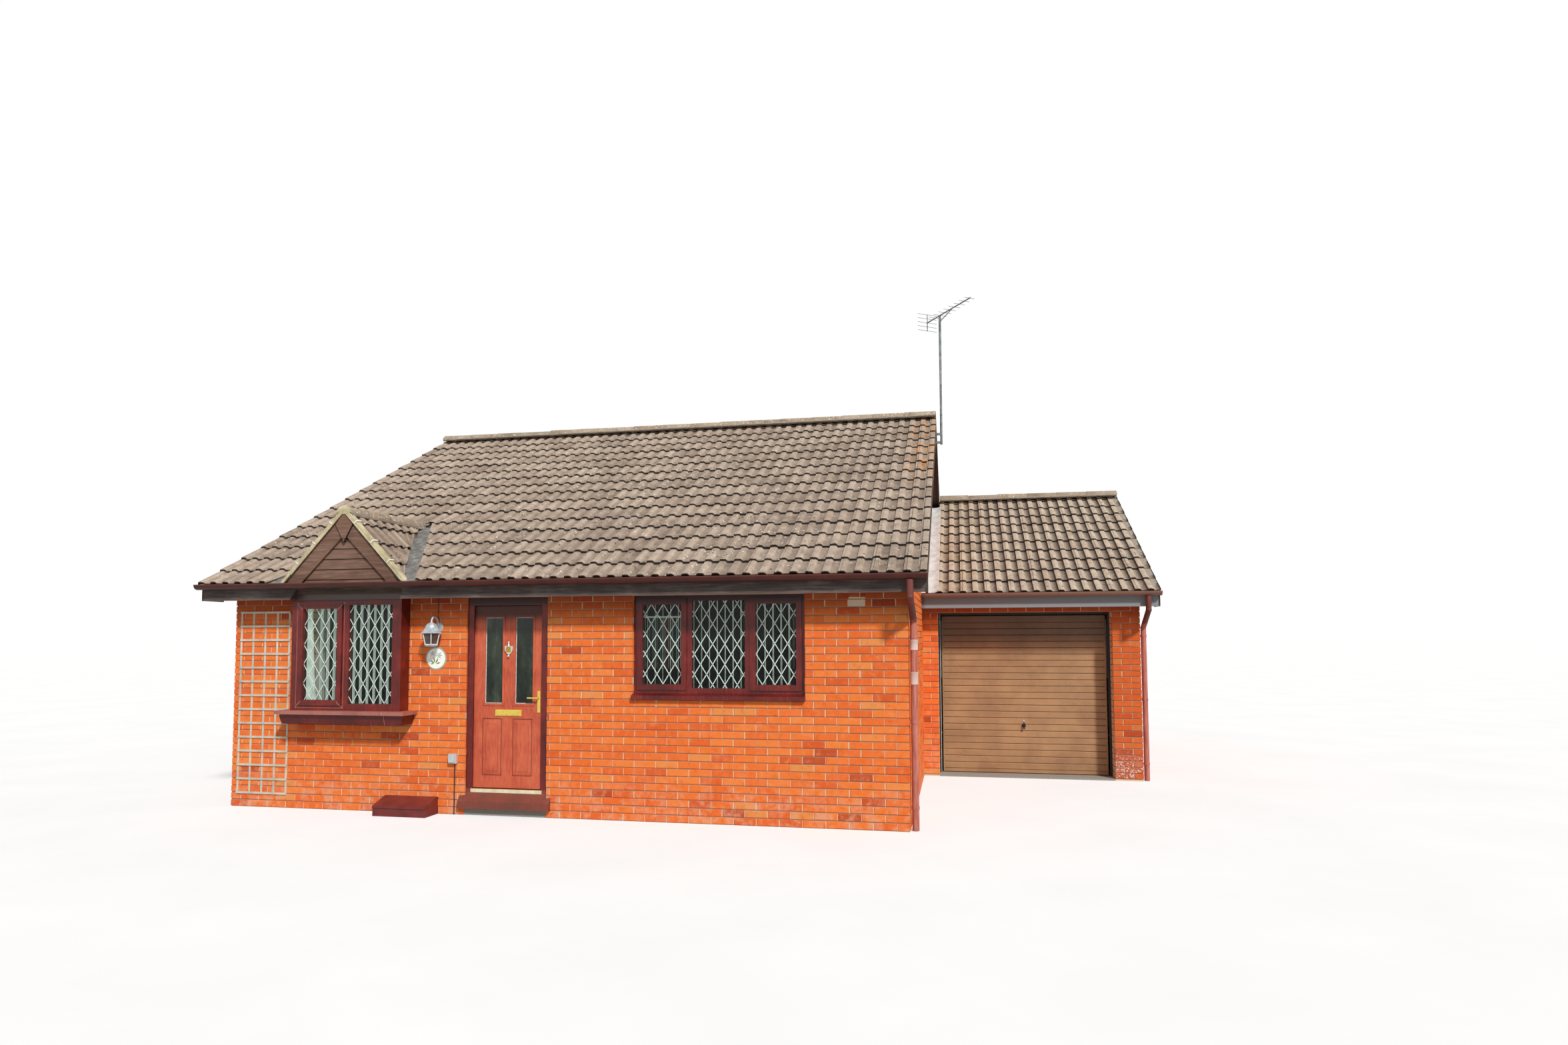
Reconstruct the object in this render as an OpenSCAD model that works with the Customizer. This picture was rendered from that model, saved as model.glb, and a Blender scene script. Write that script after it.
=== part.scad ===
// Bungalow: brick walls under a tiled gable roof, with a box bay below a timber gablet, a front door,
// and a garage with a canopy up-and-over door set back on its right.
// X runs along the front to the right, Y into the depth, Z up. The origin is the left corner of the
// front wall, on the ground.

/* [House walls] */
// Width of the house outside its walls
house_w = 7320; // [6800:10:8400]
// Depth of the house outside its walls
house_d = 8900; // [8000:10:10000]
// Thickness of the house walls
wall_t = 300; // [250:5:340]
// Top of the house floor above the ground
floor_h = 250; // [225:5:260]
// Underside of the soffit, and head of the openings, above the ground
soffit_z = 2235; // [2180:5:2300]

/* [Roof] */
// Slope of the house and garage roofs in degrees
pitch = 28; // [24:0.5:32]
// Height of the tile surface at the edge of the house eaves
eaves_z = 2412; // [2400:1:2440]
// Reach of the tile edge in front of the wall
eaves_over = 345; // [330:5:400]
// Reach of the roof past the gable walls
verge_over = 200; // [150:5:260]
// Thickness of the tiles and battens, square to the slope
tile_t = 50; // [40:1:60]
// Depth of the rafters, square to the slope
rafter_t = 115; // [100:5:130]
// Radius of the ridge tiles
ridge_r = 125; // [110:1:140]
// Thickness of the ridge tiles
ridge_t = 18; // [12:1:25]

/* [Eaves] */
// Front of the fascia board in front of the wall
fascia_out = 280; // [260:5:300]
// Thickness of the fascia and barge boards
fascia_t = 22; // [18:1:30]
// Drop of the fascia board below the soffit
fascia_drop = 12; // [5:1:20]
// Thickness of the soffit board
soffit_t = 10; // [8:1:15]
// Depth of the barge boards, square to the slope
barge_h = 150; // [120:5:180]
// Outer radius of the gutters
gutter_r = 56; // [50:1:62]
// Wall of the gutters and downpipes
gutter_t = 3; // [2:0.5:5]
// Height of the gutter rim below the tile surface at the edge
gutter_drop = 18; // [14:1:30]
// Outer radius of the downpipes
pipe_r = 33; // [30:1:36]
// Gap between a downpipe and its wall
pipe_gap = 22; // [10:1:40]

/* [Garage] */
// Width of the garage outside its walls, from the house wall
garage_w = 2703; // [2650:1:3000]
// Set-back of the garage front behind the house front
garage_back = 3520; // [3000:10:3900]
// Thickness of the garage walls
garage_t = 215; // [200:5:230]
// Width of the left pier
pier_l = 205; // [190:5:240]
// Width of the right pier
pier_r = 328; // [300:1:400]
// Height of the garage door opening
garage_head = 2125; // [2080:5:2150]
// Drop of the garage eaves below the house eaves
garage_drop = 30; // [25:1:60]
// Top of the garage floor above the ground
garage_floor_h = 24; // [15:1:40]

/* [Bay] */
// Centre of the bay from the left corner of the house
bay_x = 1472; // [1400:1:1540]
// Width of the bay frame
bay_w = 1295; // [1100:5:1400]
// Reach of the bay frame in front of the wall
bay_out = 160; // [120:5:200]
// Height of the bottom of the bay frame
bay_z = 1060; // [1000:5:1150]
// Margin of the wall opening inside the bay frame
bay_margin = 60; // [40:5:100]
// Depth of the moulded sill and its apron
bay_apron_h = 140; // [100:5:180]
// Reach of the apron past the bay frame
bay_apron_out = 72; // [40:1:80]
// Share of the width between the bay's posts that is left of its mullion
bay_split = 0.49; // [0.4:0.01:0.6]
// Width of the posts at the bay's corners
bay_post = 48; // [40:1:60]
// Width of the bay's mullion
bay_mullion = 95; // [80:1:110]
// Height of the packing between the bay's frame and the soffit
bay_head = 12; // [8:1:20]

/* [Gablet] */
// How far the gablet's middle stands right of the bay's
gablet_shift = 35; // [20:1:50]
// Slope of the gablet in degrees
gablet_pitch = 45; // [40:1:50]
// Height of the gablet's tile surface at its apex
gablet_z = 3205; // [3000:5:3300]
// Face of the gablet's barge boards in front of the wall
gablet_out = 265; // [255:1:275]
// Width of the gablet's barge boards
gablet_barge = 170; // [150:5:220]
// Thickness of the gablet's tiles and battens
gablet_tile_t = 42; // [35:1:50]
// Depth of one horizontal board in the gablet
gablet_board = 107; // [90:1:130]

/* [Windows] */
// Left edge of the front window from the left corner
win_x = 4594; // [4300:1:4800]
// Width of the front window
win_w = 1747; // [1500:1:1900]
// Height of the underside of the front window
win_z = 1200; // [1050:75:1350]
// Width of the outer members of a window frame
frame_w = 56; // [45:1:65]
// Width of the mullions
mullion_w = 72; // [60:1:80]
// Depth of a window frame
frame_d = 60; // [50:1:80]
// Set-back of the window frames behind the wall face
frame_back = 40; // [20:1:80]
// Width of the casement members
sash_w = 36; // [30:1:45]
// How far the casements stand proud of their frame
sash_proud = 14; // [8:1:20]
// Thickness of the glass
glass_t = 20; // [14:1:28]
// Gap between the panes and their frame
glass_gap = 0.3; // [0.2:0.1:1]
// Width of one vertical blind slat
slat_w = 89; // [70:1:127]
// Thickness of a vertical blind slat
slat_t = 3; // [2:0.5:4]

/* [Front door] */
// Left edge of the door opening from the left corner
door_x = 2775; // [2600:5:3000]
// Width of the door opening
door_w = 905; // [850:5:1000]
// Width of the door frame members
door_frame_w = 58; // [50:1:65]
// Depth of the door frame
door_frame_d = 70; // [60:1:90]
// Set-back of the door frame behind the wall face
door_frame_back = 20; // [0:1:40]
// Height of the bottom of the door leaf
leaf_z = 275; // [260:1:285]
// Height of the top of the door leaf
leaf_top = 2145; // [2100:1:2160]
// Thickness of the door leaf
leaf_t = 44; // [40:1:54]
// Running gap round the door leaf
leaf_gap = 7; // [6.8:0.1:8]
// Underside of the door sill above the ground
door_sill_z = 75; // [60:5:80]
// Width of each glazed panel in the door
door_pane_w = 196; // [160:1:220]
// Height of the glazed panels in the door
door_pane_h = 887; // [700:1:900]
// Underside of the glazed panels above the leaf's bottom edge
door_pane_z = 865; // [840:1:900]
// Distance between the centres of the two glazed panels
door_pane_pitch = 338; // [300:1:360]

/* [Garage door] */
// Height of the garage door panel
panel_h = 2050; // [1980:5:2060]
// Gap under the garage door panel
panel_low = 10; // [8:1:15]
// Depth of the garage door panel with its rim
panel_d = 32; // [28:1:40]
// Running gap at each side of the garage door panel
panel_gap = 16; // [15:1:20]
// Number of horizontal ribs in the panel
rib_count = 23; // [15:1:30]
// Depth of the grooves between the ribs
rib_d = 9; // [5:1:12]
// Thickness of the pressed sheet
sheet_t = 5; // [3:1:7]
// Height of the roller spindle above the panel's bottom edge
roller_h = 500; // [400:10:600]
// Length of each lifting arm between its pivots
arm_l = 745; // [700:5:750]
// Thickness of the lifting arms
arm_t = 5; // [4:0.5:6]
// Width of the lifting arms
arm_w = 32; // [26:1:40]
// Radius of the pivot pins of the lifting arms
arm_pin_r = 6; // [5:0.5:8]
// Running clearance of the pivot pins, on the radius
pin_clear = 0.1; // [0.02:0.01:0.1]
// Radius of the rollers
roller_r = 14; // [12:0.5:16]
// Running clearance of the rollers in their tracks
roller_clear = 3; // [2:0.5:4]
// Width of the door posts behind the piers
post_w = 70; // [60:1:90]
// Depth of the door posts
post_d = 80; // [70:1:110]

/* [Fittings] */
// Centre of the wall lamp from the left corner
lamp_x = 2445; // [2400:5:2480]
// Height of the edge of the lamp's roof
lamp_z = 1868; // [1840:1:1900]
// Centre of the round plaque from the left corner
plaque_x = 2432; // [2380:1:2500]
// Centre height of the round plaque
plaque_z = 1604; // [1500:1:1610]
// Radius of the round plaque
plaque_r = 120; // [100:1:125]
// Gap between the trellis and the sill of the bay
trellis_gap = 35; // [20:1:40]
// Size of one square of the trellis
trellis_cell = 150; // [130:1:155]
// Number of squares across the trellis
trellis_across = 4; // [2:1:4]
// Number of squares up the trellis
trellis_up = 13; // [8:1:13]
// Height of the foot of the trellis
trellis_z = 140; // [100:5:200]
// Width of the trellis laths
lath_w = 22; // [16:1:28]
// Thickness of the trellis laths
lath_t = 9; // [6:1:12]
// Left edge of the meter box from the left corner
meter_x = 1885; // [1800:5:1950]
// Width of the meter box
meter_w = 595; // [500:5:620]
// Height of the meter box at its back
meter_h = 175; // [150:5:220]
// Reach of the meter box in front of the wall
meter_out = 240; // [200:5:300]
// Centre of the outdoor socket from the left corner
socket_x = 2652; // [2620:1:2680]
// Height of the outdoor socket
socket_z = 572; // [500:1:650]
// Height of the top of the aerial mast
mast_top = 6430; // [6000:10:6800]
// Radius of the aerial mast
mast_r = 17; // [14:1:22]
// Length of the aerial boom
boom_l = 1100; // [900:10:1300]
// Heading of the aerial boom from the front, in degrees
boom_turn = 34; // [0:1:60]

/* [Hidden] */
$fn = 32;

seat = 0.3;
slope = tan(pitch);
steep = cos(pitch);
roof_t = tile_t + rafter_t;

garage_x = house_w + garage_w;
garage_eaves_z = eaves_z - garage_drop;
garage_soffit_z = soffit_z - garage_drop - 15;
garage_mid = (garage_back + house_d) / 2;
// Thickness of the tiles alone, at the edge over the gutter, measured upright
nose_t = gutter_drop - 2;
verge_x = house_w + verge_over;
verge_clear = 3;
open_l = house_w + pier_l;
open_r = garage_x - pier_r;

// Heights of the tile surfaces over a place y, for a roof whose wall faces are at y0 and y1
function top_z(y, y0, y1, ez) = ez + slope * (min(y - y0, y1 - y) + eaves_over);
function house_top(y) = top_z(y, 0, house_d, eaves_z);
function house_under(y) = house_top(y) - roof_t / steep;
function garage_top(y) = top_z(y, garage_back, house_d, garage_eaves_z);
function garage_under(y) = garage_top(y) - roof_t / steep;

// A profile drawn in Y and Z, carried along X
module along_x(x0, x1) {
    translate([x0, 0, 0]) rotate([90, 0, 90]) linear_extrude(x1 - x0) children();
}
// A profile drawn in X and Z, carried along Y
module along_y(y0, y1) {
    translate([0, y1, 0]) rotate([90, 0, 0]) linear_extrude(y1 - y0) children();
}
// A box between two corners
module box(a, b) {
    translate(a) cube(b - a);
}
// A round bar between two points
module bar(a, b, r) {
    v = b - a;
    translate(a) rotate([0, acos(v.z / norm(v)), atan2(v.y, v.x)]) cylinder(r = r, h = norm(v));
}
// A round bar along a list of points, with a ball at each corner that stands proud by swell
module bar_run(points, r, swell) {
    for (i = [1 : len(points) - 1]) bar(points[i - 1], points[i], r);
    for (i = [1 : len(points) - 2]) translate(points[i]) sphere(r = r + swell);
}

// Floors

module house_floor() color([0.55, 0.53, 0.5]) {
    box([wall_t, wall_t, 0], [house_w - wall_t, house_d - wall_t, floor_h]);
    // Across the doorway, under the sill and behind the frame
    box([door_x, 0, 0], [door_x + door_w, wall_t, door_sill_z]);
    box([door_x, door_frame_back + door_frame_d + seat, 0], [door_x + door_w, wall_t, floor_h]);
}

module garage_floor() color([0.6, 0.59, 0.56]) {
    box([house_w, garage_back + garage_t, 0], [garage_x - garage_t, house_d - garage_t, garage_floor_h]);
    box([open_l, garage_back, 0], [open_r, garage_back + garage_t, garage_floor_h]);
}

// House walls

module wall_section(y0, y1) {
    polygon([[y0, 0], [y1, 0], [y1, house_under(y1) - seat], [y0, house_under(y0) - seat]]);
}

bay_open_l = bay_x - bay_w / 2 + bay_margin;
bay_open_r = bay_x + bay_w / 2 - bay_margin;

module front_wall_left() color([0.85, 0.36, 0.18]) difference() {
    along_x(0, door_x) wall_section(0, wall_t);
    box([bay_open_l, -1, bay_z], [bay_open_r, wall_t + 1, soffit_z]);
}

module front_wall_right() color([0.85, 0.36, 0.18]) difference() {
    along_x(door_x + door_w, house_w) wall_section(0, wall_t);
    box([win_x, -1, win_z], [win_x + win_w, wall_t + 1, soffit_z]);
}

module front_wall_over_door() color([0.85, 0.36, 0.18])
    along_x(door_x, door_x + door_w) intersection() {
        wall_section(0, wall_t);
        translate([0, soffit_z]) square([wall_t, eaves_z]);
    }

// The rear repeats the front window twice, placed evenly
rear_margin = 900;
rear_win_x = [rear_margin, house_w - rear_margin - win_w];

module rear_wall() color([0.83, 0.36, 0.19]) difference() {
    along_x(0, house_w) wall_section(house_d - wall_t, house_d);
    for (x = rear_win_x)
        box([x, house_d - wall_t - 1, win_z], [x + win_w, house_d + 1, soffit_z]);
}

module gable_section(y0, y1) {
    polygon([[y0, 0], [y1, 0], [y1, house_under(y1) - seat],
        [house_d / 2, house_under(house_d / 2) - seat], [y0, house_under(y0) - seat]]);
}

module left_gable_wall() color([0.82, 0.35, 0.18])
    along_x(0, wall_t) gable_section(wall_t, house_d - wall_t);

module right_gable_wall() color([0.82, 0.35, 0.18])
    along_x(house_w - wall_t, house_w) gable_section(wall_t, house_d - wall_t);

// Garage walls

module garage_section(y0, y1, z0) {
    polygon([[y0, z0], [y1, z0], [y1, garage_under(y1) - seat], [y0, garage_under(y0) - seat]]);
}

module garage_pier_left() color([0.86, 0.37, 0.19])
    along_x(house_w, open_l) garage_section(garage_back, garage_back + garage_t, 0);

module garage_pier_right() color([0.86, 0.37, 0.19])
    along_x(open_r, garage_x) garage_section(garage_back, garage_back + garage_t, 0);

module garage_wall_over_door() color([0.8, 0.34, 0.18])
    along_x(open_l, open_r) garage_section(garage_back, garage_back + garage_t, garage_head);

module garage_side_wall() color([0.84, 0.36, 0.18])
    along_x(garage_x - garage_t, garage_x) polygon([
        [garage_back + garage_t, 0], [house_d - garage_t, 0],
        [house_d - garage_t, garage_under(house_d - garage_t) - seat],
        [garage_mid, garage_under(garage_mid) - seat],
        [garage_back + garage_t, garage_under(garage_back + garage_t) - seat]]);

// The rear wall of the garage stays below the verge of the house roof beside the house
module garage_rear_wall() color([0.83, 0.36, 0.19]) {
    along_x(verge_x + verge_clear, garage_x) garage_section(house_d - garage_t, house_d, 0);
    box([house_w, house_d - garage_t, 0],
        [verge_x + verge_clear, house_d, soffit_z - fascia_drop - seat]);
}

// Roofs

// One slope in Y and Z: tiles over the whole reach, rafters from behind the fascia to the ridge
module slope_section(y0, y1, ez, mid) {
    apex = top_z(mid, y0, y1, ez);
    edge = y0 - eaves_over;
    front = y0 - fascia_out;
    over_front = top_z(front, y0, y1, ez);
    polygon([[edge, ez], [mid, apex], [mid, apex - tile_t / steep],
        [front, over_front - tile_t / steep], [front, over_front - nose_t], [edge, ez - nose_t]]);
}
module rafter_section(y0, y1, ez, mid) {
    foot = y0 - fascia_out + fascia_t;
    top = top_z(foot, y0, y1, ez);
    apex = top_z(mid, y0, y1, ez);
    polygon([[foot, top - tile_t / steep], [mid, apex - tile_t / steep],
        [mid, apex - roof_t / steep], [foot, top - roof_t / steep]]);
}

module main_roof_front() color([0.5, 0.44, 0.38]) difference() {
    union() {
        along_x(-verge_over, verge_x) slope_section(0, house_d, eaves_z, house_d / 2);
        along_x(-verge_over + fascia_t, verge_x - fascia_t)
            rafter_section(0, house_d, eaves_z, house_d / 2);
    }
    // The gablet stands in a notch of the eaves
    box([gablet_x - gablet_half - seat, -eaves_over - 1, 0],
        [gablet_x + gablet_half + seat, gablet_back, gablet_z]);
}

module main_roof_rear() color([0.5, 0.44, 0.38])
    translate([0, house_d, 0]) mirror([0, 1, 0]) {
        along_x(-verge_over, verge_x) slope_section(0, house_d, eaves_z, house_d / 2);
        along_x(-verge_over + fascia_t, verge_x - fascia_t)
            rafter_section(0, house_d, eaves_z, house_d / 2);
    }

garage_verge_x = garage_x + verge_over;
// Place past which the garage roof starts at the verge of the house roof
abut_y = garage_mid - 250;

module garage_roof_front() color([0.6, 0.52, 0.43]) difference() {
    union() {
        along_x(house_w, garage_verge_x)
            slope_section(garage_back, house_d, garage_eaves_z, garage_mid);
        along_x(house_w, garage_verge_x - fascia_t)
            rafter_section(garage_back, house_d, garage_eaves_z, garage_mid);
    }
    box([house_w - 1, abut_y, 0], [verge_x + verge_clear, house_d, house_d]);
}

module garage_roof_rear() color([0.6, 0.52, 0.43])
    translate([0, 2 * garage_mid, 0]) mirror([0, 1, 0]) {
        along_x(verge_x + verge_clear, garage_verge_x)
            slope_section(garage_back, house_d, garage_eaves_z, garage_mid);
        along_x(verge_x + verge_clear, garage_verge_x - fascia_t)
            rafter_section(garage_back, house_d, garage_eaves_z, garage_mid);
    }

// Half-round ridge tile, cut to sit on slopes that fall by k from its middle
ridge_sink = 0.36;
module ridge_section(mid, apex, r, k, bore) {
    intersection() {
        translate([mid, apex - r * ridge_sink]) difference() {
            circle(r = r);
            circle(r = bore);
        }
        polygon([[mid, apex + seat], [mid + r, apex + seat - r * k], [mid + r, apex + r],
            [mid - r, apex + r], [mid - r, apex + seat - r * k]]);
    }
}

// A run of ridge tiles with its ends bedded in mortar
bedding = 14;
module ridge_run(x0, x1, mid, apex) {
    along_x(x0, x1) ridge_section(mid, apex, ridge_r, slope, ridge_r - ridge_t);
    along_x(x0, x0 + bedding) ridge_section(mid, apex, ridge_r, slope, seat);
    along_x(x1 - bedding, x1) ridge_section(mid, apex, ridge_r, slope, seat);
}

module ridge_tiles() color([0.62, 0.55, 0.45]) {
    ridge_run(-verge_over, verge_x, house_d / 2, house_top(house_d / 2));
    ridge_run(verge_x + verge_clear, garage_verge_x, garage_mid, garage_top(garage_mid));
}

// Gablet

gablet_x = bay_x + gablet_shift;
// How far the gablet's tiles reach past its barge boards
gablet_verge = 20;
// Outer radius of the gablet's ridge tiles
gablet_ridge_r = 85;
// Thickness of the gablet's horizontal boards
board_t = 14;
// Height of the lowest lap of those boards above the gablet's foot
board_low = 34;
// Back of the horizontal boards
gablet_back = -gablet_out + fascia_t + board_t;
// Foot of the gablet, on top of the fascia board
gablet_foot_z = house_top(-fascia_out + fascia_t) - tile_t / steep;
gablet_half = (gablet_z - gablet_foot_z) / tan(gablet_pitch);
gablet_timber_z = gablet_z - gablet_tile_t / cos(gablet_pitch);

// All that is above the surface of the house tiles, and above the fascia in front of the notch
module over_main_roof() {
    along_x(gablet_x - gablet_half, gablet_x + gablet_half)
        polygon([[-eaves_over - gablet_out, gablet_z * 2], [-eaves_over - gablet_out, gablet_foot_z],
            [gablet_back - seat, gablet_foot_z], [gablet_back - seat, house_top(gablet_back) + seat],
            [house_d / 2, house_top(house_d / 2) + seat], [house_d / 2, gablet_z * 2]]);
}

module gablet_slopes(drop0, drop1) {
    a = gablet_z - drop0;
    b = gablet_z - drop1;
    k = tan(gablet_pitch);
    polygon([[gablet_x, a], [gablet_x + gablet_half, a - gablet_half * k],
        [gablet_x + gablet_half, b - gablet_half * k], [gablet_x, b],
        [gablet_x - gablet_half, b - gablet_half * k], [gablet_x - gablet_half, a - gablet_half * k]]);
}

module gablet_roof() color([0.52, 0.46, 0.39]) intersection() {
    over_main_roof();
    union() {
        along_y(-gablet_out - gablet_verge, house_d / 4)
            gablet_slopes(0, gablet_tile_t / cos(gablet_pitch));
        along_y(-gablet_out - gablet_verge, house_d / 4)
            ridge_section(gablet_x, gablet_z - 1, gablet_ridge_r, tan(gablet_pitch),
                gablet_ridge_r - ridge_t);
    }
}

module gablet_triangle(inset) {
    apex = gablet_timber_z - seat - inset / cos(gablet_pitch);
    half = (apex - gablet_foot_z) / tan(gablet_pitch);
    polygon([[gablet_x - half, gablet_foot_z], [gablet_x + half, gablet_foot_z], [gablet_x, apex]]);
}

// Half width of the keystone board, the drop of its side corners, and its height
key_half = 103;
key_drop = 136;
key_h = 326;

module gablet_boards() color([0.42, 0.25, 0.21]) {
    // Barge boards, mitred at the apex
    along_y(-gablet_out, -gablet_out + fascia_t + 2) difference() {
        gablet_triangle(0);
        gablet_triangle(gablet_barge);
    }
    // Keystone board over the mitre
    along_y(-gablet_out - board_t, -gablet_out) polygon([
        [gablet_x, gablet_timber_z - seat], [gablet_x + key_half, gablet_timber_z - key_drop],
        [gablet_x, gablet_timber_z - key_h], [gablet_x - key_half, gablet_timber_z - key_drop]]);
    // Lapped boards behind
    intersection() {
        along_y(-gablet_out, 0) gablet_triangle(gablet_barge / 2);
        along_x(gablet_x - gablet_half, gablet_x + gablet_half)
            for (z = [gablet_foot_z + board_low - gablet_board : gablet_board : gablet_timber_z])
                polygon([[-gablet_out + fascia_t, z], [-gablet_out + fascia_t + board_t, z],
                    [-gablet_out + fascia_t + board_t, z + gablet_board],
                    [-gablet_out + fascia_t + board_t / 2, z + gablet_board]]);
    }
}

// Lead and mortar at the roof junctions

// Thickness of the lead, and width of the valleys across the slope
lead_t = 4;
valley_w = 125;
// How far the lead saddle reaches past the end of the gablet's ridge
saddle = 120;

// The gablet's surface meets that of the house at half_at(s) from the gablet's middle, a distance s
// up the slope from the tile edge, as far as reach
reach = (gablet_z - eaves_z) / sin(pitch);
function half_at(s) = (reach - s) * sin(pitch) / tan(gablet_pitch);

module lead_flashings() color([0.75, 0.76, 0.76]) {
    // Valleys and saddle of the gablet, flat on the house tiles beside it
    foot = (gablet_back + eaves_over) / steep;
    translate([gablet_x, -eaves_over, eaves_z]) rotate([pitch, 0, 0]) translate([0, 0, seat])
        linear_extrude(lead_t) difference() {
            polygon([[-half_at(foot) - valley_w, foot], [half_at(foot) + valley_w, foot],
                [valley_w, reach + saddle / 2], [valley_w / 2, reach + saddle],
                [-valley_w / 2, reach + saddle], [-valley_w, reach + saddle / 2]]);
            polygon([[-half_at(0) - 1, 0], [half_at(0) + 1, 0], [0, reach + 3]]);
            translate([-gablet_ridge_r - 2, 0])
                square([2 * gablet_ridge_r + 4, reach + 2 * gablet_ridge_r]);
        }
    // Flashing between the verge of the house and the garage tiles
    translate([house_w + seat, garage_back - eaves_over, garage_eaves_z]) rotate([pitch, 0, 0])
        translate([0, 0, seat])
            cube([verge_over + 25, (abut_y - garage_back + eaves_over) / steep - 12, lead_t]);
}

// Eaves

// Fascia and soffit in Y and Z, for a wall face at y0
module eaves_section(y0, ez, sz) {
    front = y0 - fascia_out;
    back = front + fascia_t;
    slack = tile_t / steep + seat;
    polygon([[front, sz - fascia_drop], [back, sz - fascia_drop], [back, sz], [y0, sz],
        [y0, sz + soffit_t], [back, sz + soffit_t],
        [back, ez + (back - y0 + eaves_over) * slope - slack],
        [front, ez + (front - y0 + eaves_over) * slope - slack]]);
}

// The fascia is cut away over the bay, with slanted ends
cut_l = bay_x - bay_w / 2 + frame_w;
cut_r = bay_x + bay_w / 2 + frame_w;
slant_l = 90;
slant_r = 34;
return_t = 12;

module front_eaves() color([0.32, 0.27, 0.25]) {
    // House fascia and soffit
    difference() {
        along_x(-verge_over + fascia_t, verge_x - fascia_t) eaves_section(0, eaves_z, soffit_z);
        along_y(-fascia_out - 1, -bay_out) polygon([
            [cut_l, soffit_z - fascia_drop - 1], [cut_r, soffit_z - fascia_drop - 1],
            [cut_r + slant_r, eaves_z - tile_t], [cut_l + slant_l, eaves_z - tile_t]]);
        box([cut_l - 1, -fascia_out + fascia_t, soffit_z - 1],
            [cut_r + 1, -bay_out, soffit_z + soffit_t + 1]);
    }
    // Ledge along the top of the cut that carries the gablet
    along_x(cut_l - 1, cut_r + slant_r + 1) intersection() {
        eaves_section(0, eaves_z, soffit_z);
        translate([-fascia_out, eaves_z - tile_t - 30]) square([fascia_t, tile_t * 2]);
    }
    // Boards that close the eaves at both ends of the cut
    for (x = [cut_l - return_t, cut_r])
        along_x(x, x + return_t) polygon([[-fascia_out + fascia_t, soffit_z - fascia_drop],
            [-bay_out - 1, soffit_z - fascia_drop], [-bay_out - 1, house_under(-bay_out - 1) - seat],
            [-fascia_out + fascia_t, house_under(-fascia_out + fascia_t) - seat]]);
    // Garage fascia and soffit
    along_x(house_w, garage_verge_x - fascia_t)
        eaves_section(garage_back, garage_eaves_z, garage_soffit_z);
}

module rear_eaves() color([0.32, 0.27, 0.25]) translate([0, house_d, 0]) mirror([0, 1, 0]) {
    along_x(-verge_over + fascia_t, verge_x - fascia_t) eaves_section(0, eaves_z, soffit_z);
    along_x(verge_x + verge_clear, garage_verge_x - fascia_t)
        eaves_section(0, garage_eaves_z, garage_soffit_z);
}

// A pair of barge boards in Y and Z, under the tiles of both slopes
module barge_section(y0, y1, ez, sz) {
    mid = (y0 + y1) / 2;
    a = tile_t / steep + seat;
    b = a + barge_h / steep;
    lo = y0 - fascia_out;
    hi = y1 + fascia_out;
    // The feet also close the ends of the eaves, down to the fascia's bottom edge
    low = sz - fascia_drop;
    polygon([[lo, top_z(lo, y0, y1, ez) - a], [mid, top_z(mid, y0, y1, ez) - a],
        [hi, top_z(hi, y0, y1, ez) - a], [hi, low], [y1, low], [y1, top_z(y1, y0, y1, ez) - b],
        [mid, top_z(mid, y0, y1, ez) - b], [y0, top_z(y0, y0, y1, ez) - b], [y0, low], [lo, low]]);
}

module barge_boards() color([0.3, 0.24, 0.22]) {
    along_x(-verge_over, -verge_over + fascia_t - seat)
        barge_section(0, house_d, eaves_z, soffit_z);
    along_x(verge_x - fascia_t + seat, verge_x) barge_section(0, house_d, eaves_z, soffit_z);
    along_x(garage_verge_x - fascia_t + seat, garage_verge_x)
        barge_section(garage_back, house_d, garage_eaves_z, garage_soffit_z);
}

// Rainwater goods

// Half-round gutter with stop ends, for a wall face at y0
module gutter(x0, x1, y0, ez) {
    cy = y0 - fascia_out - seat - gutter_r;
    cz = ez - gutter_drop;
    along_x(x0, x1) translate([cy, cz]) difference() {
        circle(r = gutter_r);
        circle(r = gutter_r - gutter_t);
        translate([-gutter_r, 0]) square(2 * gutter_r);
    }
    for (x = [x0, x1 - gutter_t])
        along_x(x, x + gutter_t) translate([cy, cz]) difference() {
            circle(r = gutter_r);
            translate([-gutter_r, 0]) square(2 * gutter_r);
        }
}

gutter_end = 8;

module gutters() color([0.46, 0.2, 0.16]) {
    gutter(-verge_over - gutter_end, verge_x + gutter_end, 0, eaves_z);
    gutter(house_w + 5, garage_verge_x + gutter_end, garage_back, garage_eaves_z);
    translate([0, house_d, 0]) mirror([0, 1, 0]) {
        gutter(-verge_over - gutter_end, verge_x - 5, 0, eaves_z);
        gutter(verge_x + verge_clear, garage_verge_x + gutter_end, 0, garage_eaves_z);
    }
}

// Heights of the collars with their wall clips
clip_z = [200, 1000, 1800];
collar_t = 4;
// Drop of the swan neck's top bend below the fascia, and fall of the neck for each step across
neck_drop = 45;
neck_fall = 0.55;

// Downpipe from a gutter outlet at x_out, by a swan neck, down a wall at [x, y]
module downpipe(x_out, y0, ez, sz, x, y) {
    cy = y0 - fascia_out - seat - gutter_r;
    top = ez - gutter_drop - gutter_r - seat;
    neck = sz - fascia_drop - neck_drop;
    elbow = neck - neck_fall * norm([x - x_out, y - cy]);
    bar_run([[x_out, cy, top], [x_out, cy, neck], [x, y, elbow], [x, y, 5]], pipe_r, 2);
    for (z = clip_z) translate([x, y, z]) cylinder(r = pipe_r + collar_t, h = 30);
}

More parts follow.
